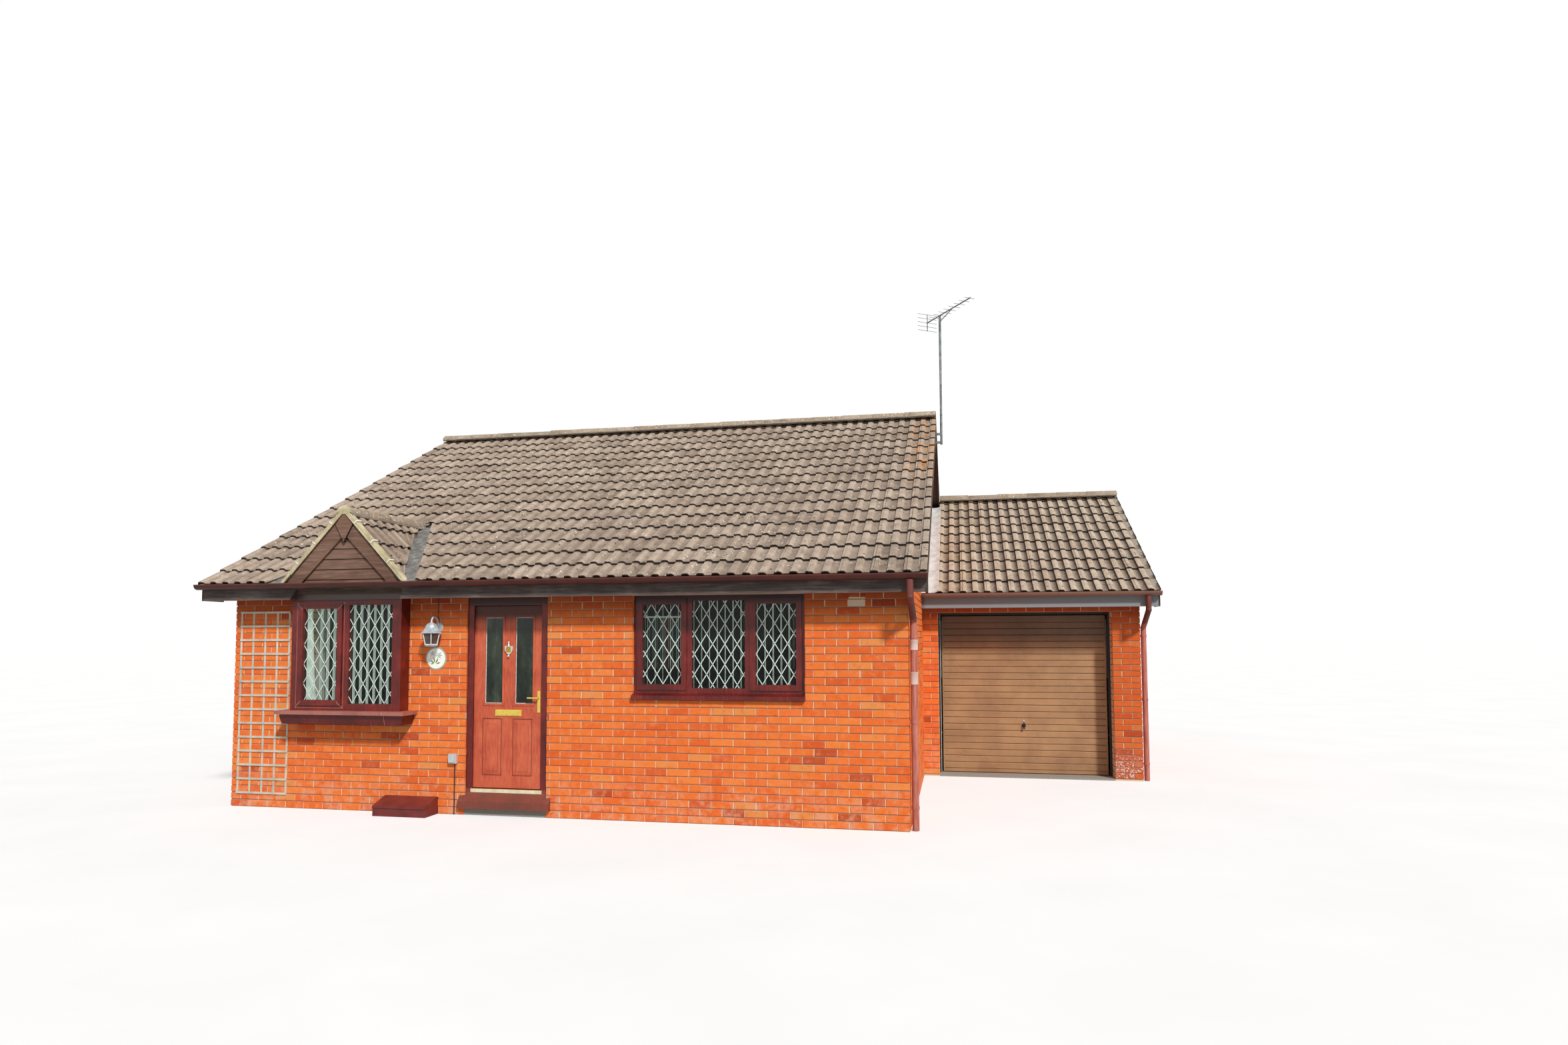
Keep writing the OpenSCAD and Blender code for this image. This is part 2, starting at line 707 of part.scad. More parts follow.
module downpipes() color([0.5, 0.22, 0.18]) {
    off = pipe_gap + pipe_r;
    side_y = pipe_r + 20;
    rear_x = 150;
    // The outlets stand a little left of the pipes
    house_step = 10;
    garage_step = 3;
    downpipe(house_w + off - house_step, 0, eaves_z, soffit_z, house_w + off, side_y);
    downpipe(garage_x + off - garage_step, garage_back, garage_eaves_z, garage_soffit_z,
        garage_x + off, garage_back + side_y);
    for (z = clip_z) {
        box([house_w + seat, side_y - 12, z + 5], [house_w + off, side_y + 12, z + 25]);
        box([garage_x + seat, garage_back + side_y - 12, z + 5],
            [garage_x + off, garage_back + side_y + 12, z + 25]);
    }
    translate([0, house_d, 0]) mirror([0, 1, 0]) {
        downpipe(rear_x, 0, eaves_z, soffit_z, rear_x, -off);
        downpipe(garage_x - rear_x, 0, garage_eaves_z, garage_soffit_z, garage_x - rear_x, -off);
        for (x = [rear_x, garage_x - rear_x])
            for (z = clip_z) box([x - 12, -off, z + 5], [x + 12, -seat, z + 25]);
    }
}

// Windows

// Window frame in X and Z with its lights as holes; edges are the mullion centres, base is the
// height of the bottom member and m the width of the mullions
module frame_face(w, h, edges, base, m = mullion_w) {
    inner = concat([frame_w - m / 2], edges, [w - frame_w + m / 2]);
    difference() {
        square([w, h]);
        for (i = [1 : len(inner) - 1])
            translate([inner[i - 1] + m / 2, base])
                square([inner[i] - inner[i - 1] - m, h - frame_w - base]);
    }
}
// Casement round a light that spans x0 to x1, lapping the frame on all sides
sash_lap = 20;
module casement_face(x0, x1, h, base) {
    difference() {
        translate([x0 - sash_lap, base - sash_lap])
            square([x1 - x0 + 2 * sash_lap, h - frame_w - base + 2 * sash_lap]);
        translate([x0 + sash_w, base + sash_w])
            square([x1 - x0 - 2 * sash_w, h - frame_w - base - 2 * sash_w]);
    }
}

win_h = soffit_z - win_z;
win_edges = [0.325 * win_w, 0.675 * win_w];
// Height of the bottom member with the sill, and of the sill alone
win_base = 114;
sill_h = 62;

// A window of three lights, the outer two opening, with its sill
module three_light(x, z) {
    translate([x, 0, z]) {
        along_y(frame_back, frame_back + frame_d) frame_face(win_w, win_h, win_edges, win_base);
        along_y(frame_back - sash_proud, frame_back + frame_d) {
            casement_face(frame_w, win_edges[0] - mullion_w / 2, win_h, win_base);
            casement_face(win_edges[1] + mullion_w / 2, win_w - frame_w, win_h, win_base);
        }
        along_x(0, win_w) polygon([[-45, 0], [frame_back, 0], [frame_back, sill_h],
            [-45, sill_h - 20]]);
    }
}

module window_frames() color([0.42, 0.13, 0.12]) {
    three_light(win_x, win_z);
    for (x = rear_win_x)
        translate([2 * x + win_w, house_d, 0]) rotate([0, 0, 180]) three_light(x, win_z);
}

// Bay

bay_h = soffit_z - bay_head - bay_z;
bay_l = bay_x - bay_w / 2;
// Width between the posts, and middle of the mullion from the left post
bay_in = bay_w - 2 * bay_post;
bay_edges = [bay_split * bay_in];

// Height of the bay frame's bottom member, thickness of the board above its head, and reach of the
// sill's nosing past the apron
bay_base = 72;
head_t = 25;
nosing_out = 35;

module bay_window_frame() color([0.42, 0.13, 0.12]) {
    translate([bay_l + bay_post, 0, bay_z]) {
        along_y(-bay_out, -bay_out + frame_d)
            frame_face(bay_in, bay_h, bay_edges, bay_base, bay_mullion);
        along_y(-bay_out - sash_proud, -bay_out + frame_d)
            casement_face(frame_w, bay_edges[0] - bay_mullion / 2, bay_h, bay_base);
    }
    // Corner posts, which run back to the wall, and the packing over the frame
    for (x = [bay_l, bay_l + bay_w - bay_post - 1])
        box([x, -bay_out, bay_z], [x + bay_post + 1, -seat, soffit_z]);
    box([bay_l, -bay_out, bay_z + bay_h - 1], [bay_l + bay_w, -bay_out + frame_d, soffit_z]);
    // Head board in front, up to the rafters
    box([cut_l + seat, -bay_out - head_t, soffit_z - fascia_drop],
        [cut_r - seat, -bay_out - seat, house_under(-bay_out - head_t) - seat]);
    box([cut_l + seat, -bay_out - head_t, soffit_z - fascia_drop],
        [bay_l + bay_w, -bay_out, soffit_z]);
}

module bay_sill() color([0.36, 0.11, 0.1]) {
    x0 = bay_l - bay_apron_out;
    x1 = bay_l + bay_w + bay_apron_out;
    y0 = -bay_out - bay_apron_out;
    // Nosing on a coved apron, mitred at the corners
    box([x0 - nosing_out, y0 - nosing_out, bay_z - 38], [x1 + nosing_out, -seat, bay_z - seat]);
    hull() {
        box([x0, y0, bay_z - 60], [x1, -seat, bay_z - 38]);
        box([x0 + 20, y0 + 20, bay_z - bay_apron_h], [x1 - 20, -seat, bay_z - bay_apron_h + 1]);
    }
}

// Panes, each as large as its light less a small gap

// The margin is the width of the casement round the pane, or 0 in a fixed light
module pane(x0, x1, h, base, margin) {
    m = margin + glass_gap;
    translate([x0 + m, base + m]) square([x1 - x0 - 2 * m, h - frame_w - base - 2 * m]);
}

module three_panes(x, z) {
    y0 = frame_back + frame_d / 2 - glass_t / 2;
    half = mullion_w / 2;
    translate([x, 0, z]) along_y(y0, y0 + glass_t) {
        pane(frame_w, win_edges[0] - half, win_h, win_base, sash_w);
        pane(win_edges[0] + half, win_edges[1] - half, win_h, win_base, 0);
        pane(win_edges[1] + half, win_w - frame_w, win_h, win_base, sash_w);
    }
}

module window_glass() color([0.7, 0.8, 0.82, 0.5]) {
    three_panes(win_x, win_z);
    for (x = rear_win_x)
        translate([2 * x + win_w, house_d, 0]) rotate([0, 0, 180]) three_panes(x, win_z);
    y0 = -bay_out + frame_d / 2 - glass_t / 2;
    translate([bay_l + bay_post, 0, bay_z]) along_y(y0, y0 + glass_t) {
        pane(frame_w, bay_edges[0] - bay_mullion / 2, bay_h, bay_base, sash_w);
        pane(bay_edges[0] + bay_mullion / 2, bay_in - frame_w, bay_h, bay_base, 0);
    }
}

// Vertical blinds: a head rail with hanging slats, each turned well open

slat_turn = -70;
module blind(x0, x1, y, z0, z1) {
    count = floor((x1 - x0) / (slat_w * 0.9));
    step = (x1 - x0) / count;
    box([x0, y - 20, z1 - 30], [x1, y + 20, z1 - seat]);
    for (i = [0 : count - 1])
        translate([x0 + step * (i + 0.5), y, z0]) rotate([0, 0, slat_turn])
            translate([-slat_w / 2, -slat_t / 2, 0]) cube([slat_w, slat_t, z1 - z0 - 29]);
}

module window_blinds() color([0.9, 0.9, 0.88]) {
    rail_y = frame_back + frame_d + 60;
    in = 60;
    blind(win_x + in, win_x + win_w - in, rail_y, win_z + 15, soffit_z);
    for (x = rear_win_x)
        blind(x + in, x + win_w - in, house_d - rail_y, win_z + 15, soffit_z);
    blind(bay_open_l + in, bay_open_r - in, rail_y - in, bay_z + 15, soffit_z);
}

// Front door

leaf_l = door_x + door_frame_w + leaf_gap;
leaf_w = door_w - 2 * door_frame_w - 2 * leaf_gap;
leaf_y = door_frame_back + 28;
leaf_h = leaf_top - leaf_z;
// Radius of the hinge knuckles, and height of each half
knuckle_r = 5.5;
knuckle_h = 50;
hinge_x = leaf_l - leaf_gap / 2;
hinge_y = leaf_y + leaf_t + 6;
// Middles of the hinges above the leaf's bottom edge
hinge_z = [180, leaf_h / 2, leaf_h - 180];

module door_frame() color([0.4, 0.12, 0.11]) {
    sill_top = leaf_z - leaf_gap;
    y0 = door_frame_back;
    y1 = y0 + door_frame_d;
    for (x = [door_x, door_x + door_w - door_frame_w])
        box([x, y0, door_sill_z], [x + door_frame_w, y1, soffit_z]);
    box([door_x, y0, leaf_top + leaf_gap], [door_x + door_w, y1, soffit_z]);
    // Stop in front of the leaf
    stop_w = 14;
    for (x = [door_x + door_frame_w, door_x + door_w - door_frame_w - stop_w])
        box([x, y0, sill_top - 1], [x + stop_w, leaf_y - leaf_gap, soffit_z]);
    // Frame leaves of the hinges, with the upper half of each knuckle
    for (z = hinge_z) {
        box([leaf_l - 50, y1, leaf_z + z + seat], [hinge_x, y1 + 3, leaf_z + z + knuckle_h]);
        translate([hinge_x, hinge_y, leaf_z + z + seat])
            cylinder(r = knuckle_r, h = knuckle_h - seat);
    }
    // Weathered sill with horns, and the threshold above it
    along_x(door_x, door_x + door_w)
        polygon([[-55, door_sill_z], [y1, door_sill_z], [y1, sill_top], [y0, sill_top],
            [y0, sill_top - 40], [y0 - 5, sill_top - 60], [-55, door_sill_z + 72]]);
    for (x = [door_x - 50, door_x + door_w])
        along_x(x, x + 50) polygon([[-55, door_sill_z], [-seat, door_sill_z],
            [-seat, sill_top - 62], [-55, door_sill_z + 72]]);
}

// Places of the glazed panels and of the raised panels below, from the leaf's left edge
leaf_mid = leaf_w / 2 + 5;
pane_left = [for (s = [-1, 1]) leaf_mid + s * door_pane_pitch / 2 - door_pane_w / 2];
lower_h = 580;
lower_z = 128;
bead_w = 22;
bead_t = 6;
// Margin, depth and bevel of the lower panels in their sunk beds
lower_lap = 8;
lower_sunk = 5;
lower_bevel = 30;

module front_door() color([0.6, 0.25, 0.2]) translate([leaf_l, leaf_y, leaf_z]) {
    difference() {
        cube([leaf_w, leaf_t, leaf_h]);
        for (x = pane_left) {
            translate([x, -1, door_pane_z]) cube([door_pane_w, leaf_t + 2, door_pane_h]);
            // Sunk bed of the panel below
            box([x - lower_lap, -1, lower_z],
                [x + door_pane_w + lower_lap, lower_sunk, lower_z + lower_h]);
        }
    }
    for (x = pane_left) {
        // Moulded rim round the glass
        along_y(-bead_t, 0) difference() {
            translate([x - bead_w, door_pane_z - bead_w])
                square([door_pane_w + 2 * bead_w, door_pane_h + 2 * bead_w]);
            translate([x, door_pane_z]) square([door_pane_w, door_pane_h]);
        }
        // Raised panel in its bed, a low pyramid with a flat face
        hull() {
            box([x, lower_sunk, lower_z + lower_lap],
                [x + door_pane_w, lower_sunk + 1, lower_z + lower_h - lower_lap]);
            box([x + lower_bevel, -1, lower_z + 1.5 * lower_bevel],
                [x + door_pane_w - lower_bevel, 0, lower_z + lower_h - 1.8 * lower_bevel]);
        }
    }
    // Lower halves of the hinge knuckles, and their leaves on the inner face
    for (z = hinge_z) {
        translate([hinge_x - leaf_l, hinge_y - leaf_y, z - knuckle_h])
            cylinder(r = knuckle_r, h = knuckle_h);
        box([-2, leaf_t, z - knuckle_h], [30, leaf_t + 3, z]);
    }
}

module front_door_glass() color([0.6, 0.68, 0.66, 0.6]) translate([leaf_l, leaf_y, leaf_z])
    for (x = pane_left)
        box([x + glass_gap, leaf_t / 2 - glass_t / 2, door_pane_z + glass_gap],
            [x + door_pane_w - glass_gap, leaf_t / 2 + glass_t / 2, door_pane_z + door_pane_h - glass_gap]);

plate_w = 290;
plate_h = 64;
plate_z = 738;
knock_z = 1386;
lever_z = 886;

module front_door_furniture() color([0.8, 0.66, 0.25]) translate([leaf_l, leaf_y, leaf_z]) {
    mid = leaf_mid;
    // Letter plate with its flap
    box([mid - plate_w / 2, -8, plate_z], [mid + plate_w / 2, -seat, plate_z + plate_h]);
    box([mid - plate_w / 2 + 18, -12, plate_z + 10], [mid + plate_w / 2 - 18, -8, plate_z + plate_h - 10]);
    // Urn knocker: a turned finial over a shield
    translate([mid, 0, knock_z]) {
        rotate([90, 0, 0]) translate([0, 0, seat]) linear_extrude(14) polygon([
            [-46, 70], [46, 70], [42, 25], [20, -8], [0, -20], [-20, -8], [-42, 25]]);
        translate([0, -16, 70]) cylinder(r1 = 14, r2 = 6, h = 30);
        translate([0, -16, 108]) sphere(r = 11);
        translate([0, -18, -32]) sphere(r = 13);
    }
    // Levers on their backplates, outside and inside
    lever_x = leaf_w - 45;
    box([lever_x - 16, -8, lever_z - 110], [lever_x + 16, -seat, lever_z + 110]);
    bar([lever_x, -4, lever_z + 40], [lever_x, -50, lever_z + 40], 8);
    bar([lever_x + 8, -46, lever_z + 40], [lever_x - 110, -46, lever_z + 40], 8);
    box([lever_x - 16, leaf_t + seat, lever_z - 110], [lever_x + 16, leaf_t + 8, lever_z + 110]);
    bar([lever_x, leaf_t + 4, lever_z + 40], [lever_x, leaf_t + 50, lever_z + 40], 8);
    bar([lever_x + 8, leaf_t + 46, lever_z + 40], [lever_x - 110, leaf_t + 46, lever_z + 40], 8);
}

// Canopy up-and-over garage door
// The roller runs up the track straight below the frame pivot, and the arm is as long as the panel
// pivot is from the roller, so the three points stay an isosceles triangle.

panel_y = garage_back + garage_t + 35;
pivot_y = panel_y + panel_d / 2;
panel_z = garage_floor_h + panel_low;
roller_z = panel_z + roller_h;
panel_pivot_z = roller_z + arm_l;
frame_pivot_z = roller_z + 2 * arm_l;
panel_l = open_l + 45;
panel_r = open_r - 45;
// How far a pivot pin stays clear of the part across the gap
pin_short = 3;

module arm(x) {
    along_x(x, x + arm_t) difference() {
        union() {
            translate([pivot_y - arm_w / 2, panel_pivot_z]) square([arm_w, arm_l]);
            for (z = [panel_pivot_z, frame_pivot_z]) translate([pivot_y, z]) circle(r = arm_w / 2);
        }
        for (z = [panel_pivot_z, frame_pivot_z])
            translate([pivot_y, z]) circle(r = arm_pin_r + pin_clear);
    }
}

module lifting_arms() color([0.35, 0.35, 0.36]) {
    arm(panel_l - panel_gap / 2 - arm_t / 2);
    arm(panel_r + panel_gap / 2 - arm_t / 2);
}

// One rib of the pressed sheet, as points in Y and Z
rim_w = 18;
// Heights of the plain bands at the panel's foot and top
rim_low = 42;
rim_top = 85;
rib_p = (panel_h - rim_low - rim_top) / rib_count;
function rib_line(i, off) = let (z = panel_z + rim_low + i * rib_p)
    [[panel_y + off, z + 7], [panel_y + off, z + rib_p - 7],
     [panel_y + off + rib_d, z + rib_p - 3], [panel_y + off + rib_d, z + rib_p + 3]];
function ribs(off) = [for (i = [0 : rib_count - 1]) each rib_line(i, off)];
function backwards(list) = [for (i = [len(list) - 1 : -1 : 0]) list[i]];

module garage_door() color([0.62, 0.48, 0.36]) {
    // Pressed sheet
    along_x(panel_l + 2, panel_r - 2) polygon(concat(
        [[panel_y + rib_d, panel_z + rim_low], [panel_y + rib_d, panel_z + rim_low + 3]], ribs(0),
        backwards(ribs(sheet_t)),
        [[panel_y + sheet_t + rib_d, panel_z + rim_low + 3],
            [panel_y + sheet_t + rib_d, panel_z + rim_low]]));
    // Rim all round
    along_y(panel_y, panel_y + panel_d) difference() {
        translate([panel_l, panel_z]) square([panel_r - panel_l, panel_h]);
        translate([panel_l + rim_w, panel_z + rim_low])
            square([panel_r - panel_l - 2 * rim_w, panel_h - rim_low - rim_top]);
    }
    // Cross rails behind the sheet
    for (z = [roller_z, panel_pivot_z])
        box([panel_l + 2, panel_y + sheet_t + rib_d - 1, z - 20],
            [panel_r - 2, panel_y + panel_d, z + 20]);
    // Pivot pins, and roller spindles with their rollers
    for (x = [panel_l, panel_r]) {
        side = x == panel_l ? -1 : 1;
        root = x - side * rim_w / 2;
        bar([root, pivot_y, panel_pivot_z],
            [x + side * (panel_gap - pin_short), pivot_y, panel_pivot_z], arm_pin_r);
        bar([root, pivot_y, roller_z], [x + side * (panel_gap + 30), pivot_y, roller_z], arm_pin_r);
        bar([x + side * (panel_gap + 12), pivot_y, roller_z],
            [x + side * (panel_gap + 30), pivot_y, roller_z], roller_r);
    }
}

handle_z = 612;
module garage_door_handle() color([0.1, 0.1, 0.1]) {
    mid = (panel_l + panel_r) / 2;
    translate([mid, panel_y, panel_z + handle_z]) rotate([90, 0, 0]) {
        translate([0, 0, seat]) cylinder(r = 24, h = 8);
        translate([0, 0, 8]) cylinder(r = 10, h = 24);
        translate([-9, -42, 28]) cube([18, 84, 12]);
        translate([0, 62, seat]) cylinder(r = 13, h = 6);
    }
}

track_in = roller_r + roller_clear;
module garage_door_frame() color([0.22, 0.14, 0.13]) {
    y0 = garage_back + garage_t + seat;
    for (side = [-1, 1]) {
        inner = side < 0 ? panel_l - panel_gap : panel_r + panel_gap;
        outer = inner + side * post_w;
        difference() {
            box([min(inner, outer), y0, garage_floor_h],
                [max(inner, outer), y0 + post_d, garage_head + 60]);
            // Track for the roller, open to the panel
            translate([0, pivot_y, 0])
                box([min(inner, inner + side * 36) - 1, -track_in, roller_z - track_in],
                    [max(inner, inner + side * 36) + 1, track_in, frame_pivot_z - 45]);
        }
        // Frame pivot pin
        bar([inner + side * post_w / 4, pivot_y, frame_pivot_z],
            [inner - side * (panel_gap - pin_short), pivot_y, frame_pivot_z], arm_pin_r);
    }
    // Head rail behind the brickwork
    box([panel_l - panel_gap, y0, panel_z + panel_h + 12],
        [panel_r + panel_gap, y0 + 30, garage_head + 60]);
}

// Fittings

// Reach of the lantern's middle in front of the wall, and height of its backplate over the roof edge
lamp_out = 125;
lamp_plate_z = 62;

module wall_lamp() color([0.45, 0.5, 0.56]) translate([lamp_x, 0, lamp_z]) {
    // Round backplate and the arm that curves over the lantern
    translate([10, -seat, lamp_plate_z]) rotate([90, 0, 0]) cylinder(r = 52, h = 14);
    bar_run([[10, -12, lamp_plate_z + 15], [8, -45, lamp_plate_z + 75], [4, -90, 152],
        [0, -lamp_out, 140], [0, -lamp_out, 90]], 10, 0.8);
    // Roof of the lantern: six sides below, a dome above
    translate([0, -lamp_out, 0]) cylinder(r1 = 115, r2 = 62, h = 58, $fn = 6);
    translate([0, -lamp_out, 52]) cylinder(r1 = 56, r2 = 40, h = 34);
    translate([0, -lamp_out, 85]) cylinder(r1 = 40, r2 = 12, h = 24);
    // Body that narrows to its foot, and the foot
    translate([0, -lamp_out, -128]) cylinder(r1 = 62, r2 = 94, h = 129, $fn = 6);
    translate([0, -lamp_out, -140]) cylinder(r1 = 52, r2 = 74, h = 13, $fn = 6);
    // Cable clipped up to the soffit
    bar([2, -5.3, lamp_plate_z + 30], [2, -5.3, soffit_z - lamp_z - seat], 5);
}

module wall_plaque() color([0.9, 0.9, 0.88])
    translate([plaque_x, -seat, plaque_z]) rotate([90, 0, 0]) {
        cylinder(r = plaque_r, h = 7);
        cylinder(r = plaque_r - 12, h = 10);
    }

// The trellis stands just left of the sill of the bay
trellis_w = trellis_across * trellis_cell + lath_w;
trellis_x = bay_l - bay_apron_out - nosing_out - trellis_gap - trellis_w;

module trellis() color([0.78, 0.78, 0.74]) translate([trellis_x, 0, trellis_z]) {
    w = trellis_w;
    h = trellis_up * trellis_cell + lath_w;
    for (i = [0 : trellis_across])
        box([i * trellis_cell, -seat - lath_t, 0], [i * trellis_cell + lath_w, -seat, h]);
    for (i = [0 : trellis_up])
        box([0, -seat - 2 * lath_t, i * trellis_cell], [w, -seat - lath_t, i * trellis_cell + lath_w]);
}

module meter_box() color([0.4, 0.12, 0.11]) along_x(meter_x, meter_x + meter_w)
    polygon([[-meter_out, 0], [-seat, 0], [-seat, meter_h], [-40, meter_h],
        [-meter_out - 10, meter_h - 70], [-meter_out - 10, meter_h - 90], [-meter_out, meter_h - 90]]);

module outdoor_socket() color([0.6, 0.62, 0.63]) {
    translate([socket_x, 0, socket_z]) {
        box([-42, -40, -50], [42, -seat, 50]);
        box([-34, -58, -36], [34, -40, 40]);
    }
    bar([socket_x + 14, -7.3, 0.5], [socket_x + 14, -7.3, socket_z - 49], 7);
}

mast_x = verge_x + 70;
module aerial() color([0.5, 0.52, 0.54]) {
    mid = house_d / 2;
    // Underside of the barge boards at the ridge, less room for the upper bracket
    high = house_top(mid) - (tile_t + barge_h) / steep - 30;
    bar([mast_x, mid, high - 150], [mast_x, mid, mast_top], mast_r);
    // Two brackets from the gable wall
    for (z = [high, high - 120]) {
        box([house_w + seat, mid - 15, z - 15], [mast_x, mid + 15, z + 15]);
        box([house_w + seat, mid - 30, z - 40], [house_w + 6, mid + 30, z + 40]);
    }
    // Boom with its rods
    translate([mast_x, mid, mast_top]) rotate([0, 0, boom_turn - 90]) {
        bar([-0.31 * boom_l, 0, 0], [0.69 * boom_l, 0, 0], 9);
        for (i = [0 : 7])
            bar([(-0.1 + 0.11 * i) * boom_l, -115 + 5 * i, 0], [(-0.1 + 0.11 * i) * boom_l, 115 - 5 * i, 0], 3);
        // Reflector grid and cradle
        for (z = [-120 : 60 : 120])
            bar([-0.3 * boom_l, -160, z], [-0.3 * boom_l, 160, z], 3);
        bar([-0.3 * boom_l, 0, -125], [-0.3 * boom_l, 0, 125], 6);
        bar([0, 0, -90], [0.3 * boom_l, 0, 0], 6);
    }
}

house_floor();
garage_floor();
front_wall_left();
front_wall_right();
front_wall_over_door();
rear_wall();
left_gable_wall();
right_gable_wall();
garage_pier_left();
garage_pier_right();
garage_wall_over_door();
garage_side_wall();
garage_rear_wall();
main_roof_front();
main_roof_rear();
garage_roof_front();
garage_roof_rear();
ridge_tiles();
gablet_roof();
gablet_boards();
lead_flashings();
front_eaves();
rear_eaves();
barge_boards();
gutters();
downpipes();
bay_window_frame();
bay_sill();
window_frames();
window_glass();
window_blinds();
door_frame();
garage_door_frame();
wall_lamp();
wall_plaque();
trellis();
meter_box();
outdoor_socket();
aerial();
front_door();
front_door_glass();
front_door_furniture();
garage_door();
garage_door_handle();
lifting_arms();
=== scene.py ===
# %% [markdown]
# # A brick bungalow with a box bay and an up-and-over garage door
# The CAD model already gives every wall, frame, slab and pane its place, in metres: X runs along the
# front, Y goes into the depth, and Z is up. This script dresses it. The repeated things a builder
# lays by hand, such as bricks and roof tiles, are worked out here as arrays and laid on the CAD
# solids. Everything else gets a finish that looks like the real surface at its real scale.

import math

import bpy
import numpy as np
from mathutils import Matrix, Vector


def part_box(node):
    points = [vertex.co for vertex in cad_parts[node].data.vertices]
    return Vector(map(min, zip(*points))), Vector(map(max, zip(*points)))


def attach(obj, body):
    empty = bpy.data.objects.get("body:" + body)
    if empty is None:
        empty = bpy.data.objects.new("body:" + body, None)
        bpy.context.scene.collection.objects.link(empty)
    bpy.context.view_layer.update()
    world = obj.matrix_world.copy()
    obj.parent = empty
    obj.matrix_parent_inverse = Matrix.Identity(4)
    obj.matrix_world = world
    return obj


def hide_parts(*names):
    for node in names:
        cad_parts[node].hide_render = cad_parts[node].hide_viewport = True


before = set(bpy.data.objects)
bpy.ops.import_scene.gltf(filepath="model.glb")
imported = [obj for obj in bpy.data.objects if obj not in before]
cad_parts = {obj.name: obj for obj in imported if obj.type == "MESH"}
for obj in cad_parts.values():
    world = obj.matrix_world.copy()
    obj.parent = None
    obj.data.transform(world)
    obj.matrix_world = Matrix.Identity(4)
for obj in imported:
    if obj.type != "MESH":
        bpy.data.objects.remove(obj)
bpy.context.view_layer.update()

# %% [markdown]
# ## The main measures
# The roof planes, the walls and the gablet are flat surfaces, so a few numbers describe them all.
# They repeat the values of the CAD source, in metres.

# %% Main measures
HOUSE_W, HOUSE_D = 7.320, 8.900
GARAGE_X, GARAGE_Y = 10.023, 3.520
SOFFIT_Z = 2.235
PITCH = math.radians(28)
EAVES_OVER, VERGE_OVER, FASCIA_OUT = 0.345, 0.200, 0.280
EAVES_Z, GARAGE_EAVES_Z = 2.412, 2.382
HOUSE_MID, GARAGE_MID = HOUSE_D / 2, (GARAGE_Y + HOUSE_D) / 2
VERGE_X = HOUSE_W + VERGE_OVER
BAY_X, BAY_W = 1.472, 1.295
GABLET_X, GABLET_Z, GABLET_FRONT, GABLET_PITCH = BAY_X + 0.035, 3.183, -0.265, math.radians(47)
rng = np.random.default_rng(7)


def house_top(y):
    """Height of the house tiles over y: eaves height plus slope times the distance from the edge."""
    return EAVES_Z + math.tan(PITCH) * (np.minimum(y, HOUSE_D - y) + EAVES_OVER)


def garage_top(y):
    """Height of the garage tiles over y, by the same rule from the garage's own walls."""
    return GARAGE_EAVES_Z + math.tan(PITCH) * (np.minimum(y - GARAGE_Y, HOUSE_D - y) + EAVES_OVER)


print("house ridge at", round(float(house_top(HOUSE_MID)), 3), "m, garage ridge at",
      round(float(garage_top(GARAGE_MID)), 3), "m")

# %% [markdown]
# ## Putting arrays into meshes
# Each new piece is an array of points and an array of faces. One function turns them into an object
# at the origin, smooths it below a chosen angle, keeps extra numbers such as a brick's tone as
# attributes, and lets it ride on its CAD body.

# %% From arrays to pieces
def welded(points, faces):
    """Points that share a place become one: (kept points, faces), without faces shrunk to a line.

    A face whose neighbouring corners have become one loses them, so a quad can turn into a triangle."""
    _, first, place = np.unique(np.round(points, 6), axis=0, return_index=True, return_inverse=True)
    place, out = place.ravel(), []
    for size in sorted({len(face) for face in faces}):
        ring = place[np.array([face for face in faces if len(face) == size])]
        twin = ring == np.roll(ring, -1, axis=1)
        for lost in range(size - 2):
            rows = twin.sum(axis=1) == lost
            out += ring[rows][~twin[rows]].reshape(-1, size - lost).tolist()
    used = np.unique(np.concatenate([np.ravel(face) for face in out]))
    number = np.zeros(len(first), int)
    number[used] = np.arange(len(used))
    return first[used], [number[face].tolist() for face in out]


def add_piece(name, points, faces, finish, slot, body="bungalow", smooth=None, uv=None, **marks):
    """Makes a piece; marks are numbers per point, kept as attributes for the finish to read."""
    points = np.asarray(points, float)
    kept, faces = welded(points, faces)
    mesh = bpy.data.meshes.new(name)
    mesh.from_pydata(points[kept].tolist(), [], faces)
    for key, values in marks.items():
        mark = mesh.attributes.new(key, "FLOAT", "POINT")
        mark.data.foreach_set("value", np.asarray(values, np.float32)[kept])
    if uv is not None:
        corner = np.zeros(len(mesh.loops), np.int32)
        mesh.loops.foreach_get("vertex_index", corner)
        layer = mesh.uv_layers.new(name="laid")
        layer.data.foreach_set("uv", np.asarray(uv, np.float32)[kept][corner].ravel())
    if smooth is not None:
        mesh.shade_smooth()
        mesh.set_sharp_from_angle(angle=math.radians(smooth))
    mesh.materials.append(finish)
    piece = bpy.data.objects.new(name, mesh)
    bpy.context.scene.collection.objects.link(piece)
    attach(piece, body)
    print(f"{name}: {len(mesh.vertices)} points, {len(mesh.polygons)} faces")
    return piece


def grid_faces(rows, cols, closed=False):
    """Quads of a grid of points stored row by row; closed joins the last column to the first."""
    j, i = np.meshgrid(np.arange(rows - 1), np.arange(cols if closed else cols - 1), indexing="ij")
    k = (i + 1) % cols
    return np.stack([j * cols + i, j * cols + k, (j + 1) * cols + k, (j + 1) * cols + i],
                    axis=-1).reshape(-1, 4)


def many(count, points_each, faces):
    """The same faces for count copies of a shape whose points follow each other."""
    return (np.arange(count)[:, None, None] * points_each + faces[None]).reshape(-1, faces.shape[1])


